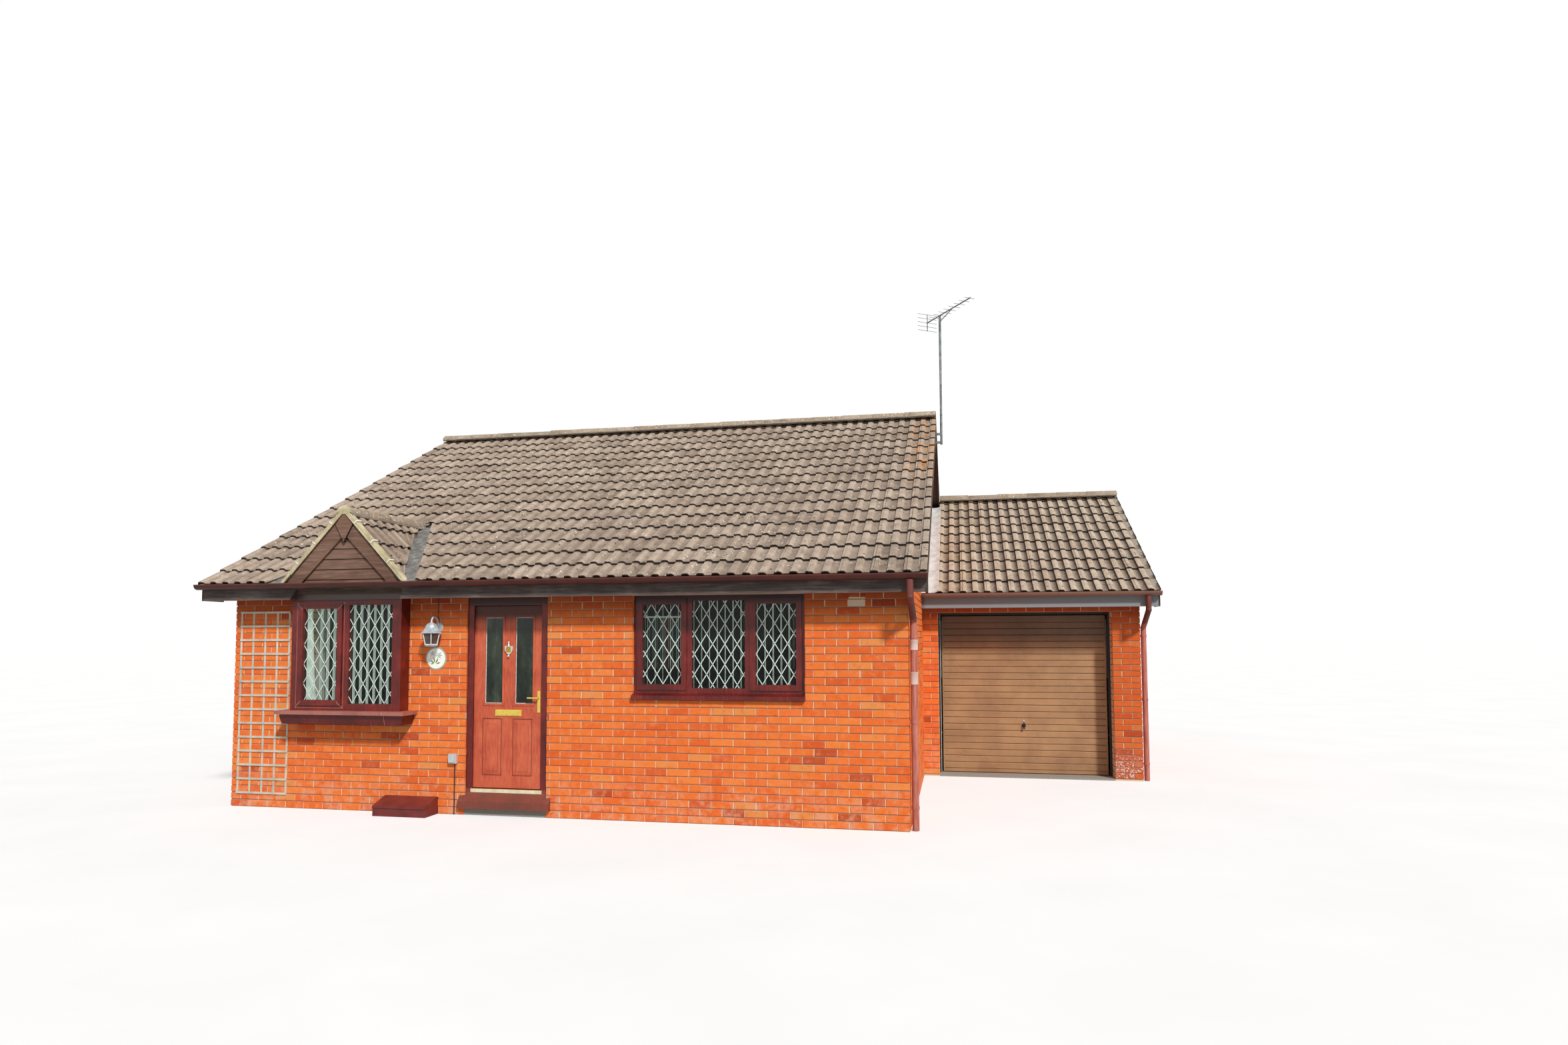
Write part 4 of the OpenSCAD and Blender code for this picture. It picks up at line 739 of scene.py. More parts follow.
# %% [markdown]
# ## Roof tiles
# The roof is laid with concrete tiles of two rolls each, 300 mm wide and a third of a metre from
# nose to nose, in straight columns. A roll has a steep left flank, a slightly crowned top and a
# gentler right flank, and a flat pan lies between two rolls. Each tile is a closed shell: five
# stations up the slope, round its nose and its head, by fifteen across. Stations past a verge, a
# valley or the ridge are pushed back onto that line, which cuts the tile there as a tiler would.

# %% The tile surface
MODULE, CREST, NOSE, SINK = 0.150, 0.023, 0.018, 0.017
COVER, GAUGE = 0.300, 0.333
# The roll over one module: places across it, from 0 to 1, and the share of the full height there
ROLL_AT = [0.0, 0.035, 0.07, 0.14, 0.28, 0.42, 0.49, 0.57, 1.0]
ROLL_HIGH = [0.0, 0.52, 0.88, 0.97, 1.0, 0.93, 0.72, 0.0, 0.0]
# Stations across one tile, in modules: its joints lie on top of a roll
ACROSS = np.array([0.22, 0.42, 0.49, 0.57, 1.0, 1.035, 1.07, 1.22, 1.42, 1.49, 1.57, 2.0, 2.035, 2.07,
                   2.22])


def roll_height(u):
    """Height across the tiles: the table of one roll, repeated at every module of 150 mm."""
    return CREST * np.interp(u / MODULE % 1.0, ROLL_AT, ROLL_HIGH)


def slope_frame(origin, along, up):
    """Turns (u, s, h) into X, Y and Z: u along the eaves, s up the slope, h square to it."""
    origin, along, up = (np.asarray(v, float) for v in (origin, along, up))
    out = np.cross(along, up)
    return lambda u, s, h: origin + u[..., None] * along + s[..., None] * up + h[..., None] * out


def lay_tiles(name, span, rise, place, finish, slot, keep_out=None, gauge=GAUGE, seed=1):
    """Tiles over u in span and s in 0 to rise; keep_out gives the part of u to leave free at s.

    Each course sinks by SINK on its way up, which is what the nose of the next one covers."""
    draw = np.random.default_rng(seed)
    cols, rows = math.ceil((span[1] - span[0]) / COVER) + 1, math.ceil(rise / gauge)
    across = ACROSS * MODULE + np.where(ACROSS > 2.2, -0.00125, 0) + np.where(ACROSS < 0.3, 0.00125, 0)
    # Stations up one tile: foot and edge of its nose, start and end of its top, foot of its head
    back = np.array([0.0, 0.0, 0.007, gauge + 0.03, gauge + 0.03])
    lip = np.array([-NOSE, -0.005, 0.0, 0.0, -0.010])
    shape = (rows, cols, len(back), len(across))
    rand = draw.normal(0, 1, (4, rows, cols, 1, 1))
    left = span[0] + COVER * (np.arange(cols)[None, :, None, None] - 1)
    u = np.broadcast_to(left + across + 0.0012 * rand[0], shape)
    s = gauge * np.arange(rows)[:, None, None, None] + back[:, None] + 0.0030 * rand[1]
    local = np.broadcast_to(back[:, None] / gauge, shape)
    u, s = np.clip(u, span[0], span[1]), np.clip(np.broadcast_to(s, shape), 0, rise)
    if keep_out is not None:
        a, b = keep_out(s)
        inside = (u > a) & (u < b)
        u = np.where(inside, np.where(left + 0.18 < (a + b) / 2, a, b), u)
    h = (-0.008 - SINK * local + roll_height(u - span[0]) + lip[:, None]
         + (1 - local) * 0.0014 * rand[2])
    wide, long = np.ptp(u, axis=3).max(axis=2), np.ptp(s, axis=(2, 3))
    kept = ((wide > 0.02) & (long > 0.03)).ravel()

    def pick(values):
        return np.broadcast_to(values, shape).reshape(rows * cols, -1)[kept].ravel()

    points = place(u, s, h).reshape(rows * cols, -1, 3)[kept].reshape(-1, 3)
    faces = shells(int(kept.sum()), len(back), len(across))
    crest = pick(roll_height(u - span[0]) / CREST)
    flank = pick(np.interp(ACROSS % 1.0, [0, 0.035, 0.07, 0.93, 1.0], [1, 1, 0, 0, 1]))
    uv = np.stack([pick(across / COVER), pick(local)], axis=1)
    return add_piece(name, points, faces, finish, slot, smooth=35, uv=uv,
                     tone=pick(draw.random((rows, cols, 1, 1))), crest=crest, flank=flank)


print("tiles per main slope:", math.ceil(7.72 / COVER) * math.ceil(5.43 / GAUGE))


# %% Tile finishes
def tile_finish(name, dark, mid, light, dirt_and_shade, lichen, moss=None, lines=0.30, head=0.930):
    """Weathered concrete: per-tile tone, grit, dark noses and flanks, and round spots of lichen.

    The pans, the flanks and a band under each nose are painted shade; the noses are partly soiled, partly
    shade.
    """
    tile = Finish(name, rough=0.92, Specular_IOR_Level=0.2)
    grit = tile.noise(230, 5, 0.7)
    stain = tile.noise(7, 6, 0.65)
    both = tile.plus(tile.times(tile.mark("tone"), 0.2), tile.times(stain, 0.8))
    shade = tile.ramp(both, (0.28, dark), (0.5, mid), (0.74, light))
    shade = tile.tint(shade, light, tile.between(grit, 0.45, 0.68), 0.28)
    shade = tile.tint(shade, dark, tile.between(grit, 0.45, 0.3), 0.35)
    crest, flank = tile.mark("crest"), tile.mark("flank")
    # Painted shade in the pans between the rolls and on each steep left flank
    pan = tile.times(tile.between(crest, 0.55, 0.0), 0.22)
    shade = tile.mix(pan, shade, dirt_and_shade)
    shade = tile.tint(shade, dirt_and_shade, flank, lines)
    streak = tile.noise(26, 4, 0.6, place=tile.stretched(1.0, 0.25, 0.25))
    shade = tile.tint(shade, dirt_and_shade, tile.between(streak, 0.54, 0.7), 0.28)
    clump = tile.times(tile.spots(15, 0.13, 0.05), tile.between(tile.noise(3.1, 3), 0.5, 0.6))
    shade = tile.tint(shade, (40, 34, 28), clump, 0.85)
    field = tile.noise(1.6, 4)
    for scale, size, share, colour in lichen:
        spots = tile.times(tile.spots(scale, size, 0.05), tile.between(field, 0.38, 0.6))
        shade = tile.tint(shade, colour, spots, share)
    if moss:
        shade = moss(tile, shade)
    # Noses partly soiled and partly painted shade, and painted shade in a band under the next nose
    nose = tile.most(tile.between(tile.laid("Y"), 0.02, 0.004),
                     tile.times(tile.between(tile.laid("Y"), head, head + 0.035), 0.9))
    shade = tile.tint(shade, (34, 27, 23), nose, 0.96)
    tile.colour(shade)
    tile.bump(grit, 0.002, 0.8)
    tile.bump(stain, 0.004, 0.4)
    tile.bump(clump, 0.008, 0.8)
    return tile


def verge_lichen(tile, shade):
    """Orange lichen in a band near the right verge, on the upper half of the roof."""
    near = tile.times(tile.beyond("X", 7.05, 7.4), tile.beyond("Z", 3.4, 4.0))
    blot = tile.between(tile.noise(11, 4, 0.6), 0.54, 0.62)
    return tile.tint(shade, (222, 140, 46), near, blot, 0.85)


def garage_moss(tile, shade):
    """Yellow-green moss beside the flashing, fading to the right."""
    near = tile.beyond("X", 8.45, 7.55)
    blot = tile.between(tile.noise(5, 5, 0.6), 0.40, 0.64)
    return tile.tint(shade, (186, 162, 118), near, blot, 0.35)


SPECKS = [(13, 0.13, 0.85, (226, 222, 212)), (34, 0.16, 0.70, (212, 206, 194)),
          (22, 0.14, 0.70, (62, 54, 46))]
house_tile = tile_finish("weathered grey-brown tile", (134, 117, 103), (170, 151, 134),
                         (196, 177, 159), (80, 66, 57), SPECKS, verge_lichen)
garage_tile = tile_finish("tan tile", (158, 139, 120), (188, 169, 149), (208, 192, 172),
                          (62, 50, 42), SPECKS[1:], garage_moss, lines=0.95, head=0.905)
gablet_tile = tile_finish("gablet tile", (136, 116, 102), (174, 153, 135), (202, 184, 164),
                          (80, 66, 57), SPECKS)
print("three tile finishes")

# %% Tiles of the two roofs
SLOPE = np.array([0, math.cos(PITCH), math.sin(PITCH)])
HOUSE_RISE = (HOUSE_MID + EAVES_OVER) / math.cos(PITCH)
GARAGE_RISE = (GARAGE_MID - GARAGE_Y + EAVES_OVER) / math.cos(PITCH)
REACH = (GABLET_Z - EAVES_Z) / math.sin(PITCH)


def valley_half(s):
    """Half width of the gablet where its surface meets the house tiles, s up from the tile edge."""
    return (REACH - s) * math.sin(PITCH) / math.tan(GABLET_PITCH)


VALLEY_GAP = 0.165


def gablet_keep_out(s):
    """The house tiles stop 165 mm outside the valley line, and close up above the gablet's ridge."""
    half = valley_half(s)
    half = np.maximum(half, 0) + VALLEY_GAP * np.clip((half + 0.08) / 0.16, 0, 1)
    return VERGE_OVER + GABLET_X - half, VERGE_OVER + GABLET_X + half


front_place = slope_frame([-VERGE_OVER, -EAVES_OVER, EAVES_Z], [1, 0, 0], SLOPE)
tiles = lay_tiles("house_tiles_front", (0, HOUSE_W + 2 * VERGE_OVER), HOUSE_RISE, front_place,
                  house_tile.mat, "roof_tile", gablet_keep_out, seed=3)
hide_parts("main_roof_front")
rear_place = slope_frame([VERGE_X, HOUSE_D + EAVES_OVER, EAVES_Z], [-1, 0, 0], SLOPE * [1, -1, 1])
tiles = lay_tiles("house_tiles_rear", (0, HOUSE_W + 2 * VERGE_OVER), HOUSE_RISE, rear_place,
                  house_tile.mat, "roof_tile", seed=4)
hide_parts("main_roof_rear")
GARAGE_VERGE = GARAGE_X + VERGE_OVER
# Up to this depth the garage's front slope reaches the house's wall; behind it, it starts outside the
# house's verge
ABUT_Y = GARAGE_MID - 0.25
ABUT = (ABUT_Y - GARAGE_Y + EAVES_OVER) / math.cos(PITCH)
garage_place = slope_frame([HOUSE_W + 0.195, GARAGE_Y - EAVES_OVER, GARAGE_EAVES_Z], [1, 0, 0], SLOPE)
tiles = lay_tiles("garage_tiles_front", (0, GARAGE_VERGE - HOUSE_W - 0.195), GARAGE_RISE,
                  garage_place, garage_tile.mat, "garage_tile", seed=5)
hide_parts("garage_roof_front")
garage_rear_place = slope_frame([GARAGE_VERGE, HOUSE_D + EAVES_OVER, GARAGE_EAVES_Z], [-1, 0, 0],
                                SLOPE * [1, -1, 1])
tiles = lay_tiles("garage_tiles_rear", (0, GARAGE_VERGE - VERGE_X - 0.003), GARAGE_RISE,
                  garage_rear_place, garage_tile.mat, "garage_tile", seed=6)
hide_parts("garage_roof_rear")

# %% [markdown]
# ## Under the tiles
# The tiles take the place of the CAD slabs, whose flat top would show through their dips. So the
# battens and rafters below are laid again as plain slabs, with their top under the tile pans and
# their underside where the CAD slab has it. Mortar fills the gap at the verges, as on the real roof.

# %% Battens, rafters and verge mortar
timber = mottled("old roof timber", 30, 5, (0.3, (58, 46, 38)), (0.7, (96, 78, 62)), grain=0.6,
                 along=(0.2, 3, 3), bump=(0.002,), rough=0.9)


def slope_blocks(parts, top):
    """Blocks under a slope: (x0, x1, y0, y1, h0, h1), h square to the slope below the tile plane."""
    p = np.array(parts, float)
    x = p[:, [0, 1]][:, [0, 0, 0, 0, 1, 1, 1, 1]]
    y = p[:, [2, 3]][:, [0, 0, 1, 1, 0, 0, 1, 1]]
    h = p[:, [4, 5]][:, [1, 0, 1, 0, 1, 0, 1, 0]]
    points = np.stack([x, y, top(y) - h / math.cos(PITCH)], axis=-1).reshape(-1, 3)
    return points, many(len(p), 8, BOX_FACES)


def mirrored(parts, y_sum):
    """The same blocks on the rear slope: y becomes y_sum - y, with the two ends swapped."""
    return [(x0, x1, y_sum - y1, y_sum - y0, h0, h1) for x0, x1, y0, y1, h0, h1 in parts]


BATTEN_FOOT, RAFTER_FOOT = -0.336, -0.258
GABLET_FOOT_Z = float(house_top(RAFTER_FOOT)) - RAFTER[0] / math.cos(PITCH)
GABLET_HALF = (GABLET_Z - GABLET_FOOT_Z) / math.tan(GABLET_PITCH)
GABLET_BACK, NOTCH_HALF = -0.229, 0.8037
notch = (GABLET_X - NOTCH_HALF, GABLET_X + NOTCH_HALF)
plain = [(-VERGE_OVER + 0.006, VERGE_X - 0.006, BATTEN_FOOT, HOUSE_MID, *BATTEN),
         (-VERGE_OVER + 0.022, VERGE_X - 0.022, RAFTER_FOOT, HOUSE_MID, *RAFTER)]
split = []
for x0, x1, y0, y1, h0, h1 in plain:
    split += [(x0, notch[0], y0, y1, h0, h1), (notch[1], x1, y0, y1, h0, h1),
              (notch[0], notch[1], GABLET_BACK, y1, h0, h1)]
house_slabs = slope_blocks(split + mirrored(plain, HOUSE_D), house_top)
add_piece("house_rafters", *house_slabs, timber.mat, "dark_timber")
start, over = HOUSE_W + 0.0005, VERGE_X + 0.003
garage_parts, rear_parts = [], []
for inset, foot_y, layer in ((0.006, BATTEN_FOOT, BATTEN), (0.022, RAFTER_FOOT, RAFTER)):
    edge, foot_y = GARAGE_VERGE - inset, GARAGE_Y + foot_y
    garage_parts += [(start, edge, foot_y, ABUT_Y, *layer), (over, edge, ABUT_Y, GARAGE_MID, *layer)]
    rear_parts += mirrored([(over, edge, foot_y, GARAGE_MID, *layer)], 2 * GARAGE_MID)
garage_slabs = slope_blocks(garage_parts + rear_parts, garage_top)
add_piece("garage_rafters", *garage_slabs, timber.mat, "dark_timber")

pale_mortar = mottled("grey verge mortar", 60, 5, (0.3, (120, 110, 98)), (0.65, (176, 164, 148)),
                      grain=0.65, bump=(0.006,), rough=0.95)


def mortar_line(x0, x1, y0, y1, top, low=0.050, high=0.012, steps=90):
    """A bed of mortar up a verge: four corners at each station, the outer ones uneven, inwards."""
    y = np.linspace(y0, y1, steps)
    wobble = np.abs(rng.normal(0, 0.004, (steps, 2)))
    inwards = np.sign(x0 - x1) * wobble[:, 0]
    c = math.cos(PITCH)
    ring = np.stack([
        np.stack([np.full(steps, x0), y, top(y) - low / c], axis=1),
        np.stack([x1 + inwards * 0.3, y, top(y) - low / c], axis=1),
        np.stack([x1 + inwards, y, top(y) - high / c - wobble[:, 1]], axis=1),
        np.stack([np.full(steps, x0), y, top(y) - high / c], axis=1)], axis=1)
    solid = through(ring)
    return solid if (x1 - x0) * (y1 - y0) < 0 else flipped(solid)


# Each verge: its edge in X, the side it faces, and the front eaves, ridge and height of its roof
VERGES = [(VERGE_X, 1, -0.335, HOUSE_MID, house_top), (-VERGE_OVER, -1, -0.335, HOUSE_MID, house_top),
          (GARAGE_VERGE, 1, GARAGE_Y - 0.335, GARAGE_MID, garage_top)]
beds = [mortar_line(edge - side * 0.08, edge - side * 0.003, foot_y, mid, top)
        for edge, side, front_y, mid, top in VERGES for foot_y in (front_y, HOUSE_D + 0.335)]
add_piece("verge_mortar", *joined(*beds), pale_mortar.mat, "roof_tile", smooth=40)

# %% [markdown]
# ## Ridge tiles
# Half-round ridge tiles, 450 mm long, are bedded in mortar on both ridges and on the gablet. Each is
# part of a tube with a small step at its ends, and a narrower tube of mortar runs through them all,
# so it shows in the joints and as a rough bead along the lower edges.

# %% Ridge tiles and their mortar
ridge_clay = tile_finish("ridge tile", (124, 108, 92), (160, 143, 122), (190, 172, 150),
                         (84, 72, 60), [(26, 0.27, 0.9, (224, 218, 206)), (19, 0.22, 0.85, (206, 138, 62))])


def ridge_tiles(start, end, radius, count, spread, thick=0.018, seed=1):
    """Closed tubes from start to end over angles of plus and minus spread, with a tone for each."""
    draw = np.random.default_rng(seed)
    start, end = np.asarray(start, float), np.asarray(end, float)
    way = (end - start) / np.linalg.norm(end - start)
    side = np.cross(way, [0, 0, 1.0])
    pitch = np.linalg.norm(end - start) / count
    angle = np.radians(np.linspace(-spread, spread, 15))
    at = np.array([0.003, 0.003, 0.008, pitch - 0.008, pitch - 0.003, pitch - 0.003])
    r = radius - np.array([thick, 0.003, 0.0, 0.004, 0.007, thick])
    k = np.arange(count)[:, None, None]
    lift = 0.0025 * draw.normal(0, 1, (count, 1, 1))
    along = (k * pitch + at[:, None])[..., None] * way
    across = (r[:, None] * np.sin(angle))[None, ..., None] * side
    high = (r[:, None] * np.cos(angle) + lift)[..., None] * np.array([0, 0, 1.0])
    points = (start + along + across + high).reshape(-1, 3)
    tone = np.repeat(draw.random(count), len(at) * len(angle))
    return points, shells(count, len(at), len(angle)), tone


def ridge_bead(start, end, radius, spread, seed=1, droop=12):
    """Mortar under a ridge: a narrower tube, with rough rolls along its two lower edges."""
    draw = np.random.default_rng(seed)
    start, end = np.asarray(start, float), np.asarray(end, float)
    length = np.linalg.norm(end - start)
    way = (end - start) / length
    side = np.cross(way, [0, 0, 1.0])
    steps = max(8, int(length / 0.045))
    low = [-spread - droop, -spread - 0.6 * droop, -spread + 1]
    turn = np.radians(np.concatenate([low, np.linspace(-spread + 5, spread - 5, 11), -np.array(low[::-1]),
                                      np.linspace(spread + 8, -spread - 8, 5)]))
    r = radius + np.array([-0.022, 0.004, 0.003] + [-0.007] * 11 + [0.003, 0.004, -0.022] + [-0.034] * 5)
    rough = np.array([1.0] * 3 + [0.15] * 11 + [1.0] * 3 + [0.0] * 5)
    r = r[None] + 0.003 * draw.normal(0, 1, (steps, len(turn))) * rough
    t = np.linspace(0, length, steps)
    return through(start + t[:, None, None] * way + (r * np.sin(turn))[..., None] * side
                   + (r * np.cos(turn))[..., None] * np.array([0, 0, 1.0]))


RIDGE_R, RIDGE_SPREAD = 0.125, 66
house_axis = float(house_top(HOUSE_MID)) - 0.36 * RIDGE_R
garage_axis = float(garage_top(GARAGE_MID)) - 0.36 * RIDGE_R
p1, f1, t1 = ridge_tiles([-VERGE_OVER, HOUSE_MID, house_axis], [VERGE_X, HOUSE_MID, house_axis],
                         RIDGE_R, 17, RIDGE_SPREAD, seed=2)
p2, f2, t2 = ridge_tiles([over, GARAGE_MID, garage_axis], [GARAGE_VERGE, GARAGE_MID, garage_axis],
                         RIDGE_R, 6, RIDGE_SPREAD, seed=3)
points, faces = joined((p1, f1), (p2, f2))
ridge = add_piece("ridge_tiles_laid", points, faces, ridge_clay.mat, "roof_tile", smooth=40,
                  uv=np.full((len(points), 2), 0.5), tone=np.concatenate([t1, t2]),
                  crest=np.ones(len(points)))
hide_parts("ridge_tiles")


def end_disc(x, y, z, thick=0.012):
    """Mortar that closes the end of a ridge: a sector from low down to the tube's inner edge."""
    angle, radius = np.radians(np.linspace(-RIDGE_SPREAD, RIDGE_SPREAD, 17)), RIDGE_R - 0.004
    rim = np.stack([y + radius * np.sin(angle), z + radius * np.cos(angle)], axis=1)
    outline = np.concatenate([rim, [[y, z + radius * math.cos(math.radians(RIDGE_SPREAD)) - 0.01]]])
    return flipped(prism(*[np.insert(outline, 0, x + t, axis=1) for t in (0, thick)]))


ends = [end_disc(x, mid, axis)
        for x, mid, axis in ((-VERGE_OVER + 0.004, HOUSE_MID, house_axis),
                             (VERGE_X - 0.016, HOUSE_MID, house_axis),
                             (GARAGE_VERGE - 0.016, GARAGE_MID, garage_axis),
                             (over + 0.004, GARAGE_MID, garage_axis))]
beads = [ridge_bead([-VERGE_OVER + 0.01, HOUSE_MID, house_axis], [VERGE_X - 0.01, HOUSE_MID, house_axis],
                    RIDGE_R, RIDGE_SPREAD, 5),
         ridge_bead([over + 0.01, GARAGE_MID, garage_axis], [GARAGE_VERGE - 0.01, GARAGE_MID, garage_axis],
                    RIDGE_R, RIDGE_SPREAD, 6)]
add_piece("ridge_mortar", *joined(*beads, *ends), pale_mortar.mat, "roof_tile", smooth=50)

# %% [markdown]
# ## The gablet
# Over the bay stands a small timber gable with tiles of its own. Its tiles run level, so their u
# axis lies along Y, and they are cut to the slanted valley line. A cream verge strip with a clip at
# each course covers the front edge, and a half-round ridge runs back into the main roof.

# %% Gablet tiles and rafters
cosg, sing = math.cos(GABLET_PITCH), math.sin(GABLET_PITCH)
GABLET_EDGE, GABLET_SLAB_Y, GABLET_GAUGE = GABLET_FRONT - 0.020, -0.236, 0.285
gablet_rise, FAR_BACK = GABLET_HALF / cosg, 9
valley_back = (GABLET_Z - EAVES_Z) / math.tan(PITCH) - EAVES_OVER


def gablet_valley(s):
    """Depth Y at which the gablet slope, s up from its foot, runs into the house tiles."""
    z = GABLET_FOOT_Z + s * sing
    return (z - EAVES_Z) / math.tan(PITCH) - EAVES_OVER


def right_cut(s):
    """What the right slope leaves free: from the valley line backwards."""
    start = np.maximum(gablet_valley(s) - 0.005 - GABLET_EDGE, 0)
    return start, start + FAR_BACK


def left_cut(s):
    """The same on the left slope, whose tiles start at the back."""
    depth = valley_back - GABLET_EDGE
    end = depth - np.maximum(gablet_valley(s) - 0.005 - GABLET_EDGE, 0)
    return end - FAR_BACK, end


gablet_span = (0, valley_back - GABLET_EDGE)
gablet_right = slope_frame([GABLET_X + GABLET_HALF, GABLET_EDGE, GABLET_FOOT_Z], [0, 1, 0],
                           [-cosg, 0, sing])
gablet_left = slope_frame([GABLET_X - GABLET_HALF, valley_back, GABLET_FOOT_Z], [0, -1, 0],
                          [cosg, 0, sing])
tiles = lay_tiles("gablet_tiles_right", gablet_span, gablet_rise, gablet_right, gablet_tile.mat,
                  "roof_tile", right_cut, gauge=GABLET_GAUGE, seed=8)
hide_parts("gablet_roof")
lay_tiles("gablet_tiles_left", gablet_span, gablet_rise, gablet_left, gablet_tile.mat, "roof_tile",
          left_cut, gauge=GABLET_GAUGE, seed=9)


def gablet_slab(side):
    """A board under the gablet tiles, from 34 to 42 mm below their plane, cut on the valley line."""
    s = np.linspace(0, gablet_rise, 12)
    front = np.full(12, GABLET_SLAB_Y)
    deep = np.maximum(gablet_valley(s) + 0.02, GABLET_SLAB_Y + 0.02)
    x = GABLET_X + side * (GABLET_HALF - s * cosg)
    z = GABLET_FOOT_Z + s * sing
    ring = [np.stack([x - side * h * sing, y, z - h * cosg], axis=1)
            for h, y in ((0.034, front), (0.034, deep), (0.042, deep), (0.042, front))]
    solid = through(np.stack(ring, axis=1))
    return solid if side > 0 else flipped(solid)


add_piece("gablet_rafters", *joined(gablet_slab(1), gablet_slab(-1)), timber.mat, "dark_timber")

GABLET_RIDGE_R, GABLET_SPREAD, gablet_axis = 0.088, 84, 3.118
p, f, t = ridge_tiles([GABLET_X, GABLET_EDGE, gablet_axis], [GABLET_X, valley_back + 0.05, gablet_axis],
                      GABLET_RIDGE_R, 4, GABLET_SPREAD, 0.014, seed=4)
add_piece("gablet_ridge", p, f, ridge_clay.mat, "roof_tile", smooth=40, uv=np.full((len(p), 2), 0.5),
          tone=t, crest=np.ones(len(p)))
gablet_bead = ridge_bead([GABLET_X, GABLET_EDGE + 0.01, gablet_axis],
                         [GABLET_X, valley_back + 0.03, gablet_axis], GABLET_RIDGE_R, GABLET_SPREAD, 7, 26)
add_piece("gablet_ridge_mortar", *gablet_bead, pale_mortar.mat, "roof_tile", smooth=50)

# %% [markdown]
# The verge strip is a folded profile, carried down each slope from the ridge to the foot: a face in
# front and a lip on top of the tiles. Its clips are small bent straps.

# %% Verge strips, clips and ridge end
cream = mottled("cream verge strip", 9, 5, (0.35, (168, 156, 120)), (0.6, (208, 196, 158)),
                (0.8, (228, 220, 192)), grain=0.6, rough=0.6)
cream.bump(cream.noise(60, 3), 0.001)


def verge_strip(side):
    """A folded profile of (forward, square to slope) points at each station down the slope."""
    profile = np.array([[0.004, -0.032], [0.007, -0.028], [0.004, -0.023], [0.004, 0.007], [0.001, 0.012],
                        [-0.050, 0.015], [-0.050, 0.010], [-0.002, 0.007], [-0.002, -0.032]])
    s = np.linspace(0.0, gablet_rise - 0.03, 10)
    x0 = GABLET_X + side * (GABLET_HALF - s * cosg)
    z0 = GABLET_FOOT_Z + s * sing
    x = x0[:, None] + side * profile[None, :, 1] * sing
    z = z0[:, None] + profile[None, :, 1] * cosg
    y = np.broadcast_to(GABLET_EDGE - profile[None, :, 0], x.shape)
    solid = through(np.stack([x, y, z], axis=-1))
    return solid if side > 0 else flipped(solid)


add_piece("verge_strips", *joined(verge_strip(1), verge_strip(-1)), cream.mat, "roof_tile", smooth=30)


def clip(side, s):
    """A strap over the strip: a thin bent plate, 16 mm wide, from its face to the tile behind."""
    line = np.array([[0.010, -0.022], [0.010, 0.022], [-0.060, 0.030], [-0.060, 0.027], [0.007, 0.019],
                     [0.007, -0.022]])
    ends = []
    for along in (-0.008, 0.008):
        x = GABLET_X + side * (GABLET_HALF - (s + along) * cosg) + side * line[:, 1] * sing
        z = GABLET_FOOT_Z + (s + along) * sing + line[:, 1] * cosg
        ends.append(np.stack([x, GABLET_EDGE - line[:, 0], z], axis=1))
    return prism(*ends) if side > 0 else flipped(prism(*ends))


bright_clip = mottled("pale clip", 40, 3, (0.3, (214, 208, 190)), (0.7, (246, 242, 230)), rough=0.5)
clips = [clip(side, s) for side in (-1, 1) for s in (0.285, 0.570, 0.855)]
add_piece("verge_clips", *joined(*clips), bright_clip.mat, "roof_tile")


def ridge_face():
    """The cream end of the gablet's ridge: a half disc with a notch for the mitre of the boards."""
    angle = np.radians(np.linspace(-78, 78, 21))
    x = GABLET_X + GABLET_RIDGE_R * np.sin(angle)
    z = gablet_axis + GABLET_RIDGE_R * np.cos(angle)
    outline = np.concatenate([np.stack([x, z], axis=1), [[GABLET_X, GABLET_Z - 0.070]]])
    return prism(*[np.insert(outline, 1, y, axis=1) for y in (GABLET_EDGE - 0.0045, GABLET_EDGE + 0.010)])


add_piece("gablet_ridge_end", *ridge_face(), cream.mat, "roof_tile")

# %% [markdown]
# ## Lead
# Lead is dressed by hand over what lies below it, so its surface is the highest of the surfaces
# under it plus a little, with soft dents. The same rule makes the two valleys, the saddle behind the
# gablet's ridge, and the pale flashing beside the garage roof.

# %% Lead sheets
lead = Finish("grey lead", rough=0.55, Metallic=0.2)
bruise = lead.noise(12, 5, 0.65)
lead.colour(lead.ramp(bruise, (0.28, (72, 70, 67)), (0.5, (118, 115, 110)), (0.75, (172, 168, 160))))
lead.feed("Roughness", bruise, 0.45, 0.75)
lead.bump(lead.noise(35, 4, 0.6), 0.004, 0.6)


def valley_surface(x, y):
    """A lead gutter: the higher of two planes, 34 mm under the house tiles, 41 mm under the gablet's."""
    slope = GABLET_Z - np.abs(x - GABLET_X) * math.tan(GABLET_PITCH) - 0.041
    return np.maximum(house_top(y) - 0.034, slope)


def lead_sheet(grid_x, grid_y, surface, thick=0.004):
    """A sheet over a grid of places, its top at the surface and its underside thick below."""
    z = surface(grid_x, grid_y)
    z = z + 0.0012 * np.sin(grid_x * 61 + grid_y * 23) + 0.0012 * np.sin(grid_y * 47 - grid_x * 31)
    top = np.stack([grid_x, grid_y, z], axis=-1)
    rows, cols = grid_x.shape
    points = np.concatenate([top.reshape(-1, 3), (top - [0, 0, thick]).reshape(-1, 3)])
    faces = grid_faces(rows, cols)
    index = np.arange(rows * cols).reshape(rows, cols)
    rim = np.concatenate([index[0, :-1], index[:-1, -1], index[-1, :0:-1], index[:0:-1, 0]])
    nxt = np.roll(rim, -1)
    skirt = np.stack([rim, nxt, nxt + rows * cols, rim + rows * cols], axis=1)[:, ::-1]
    return points, np.concatenate([faces, faces[:, ::-1] + rows * cols, skirt])


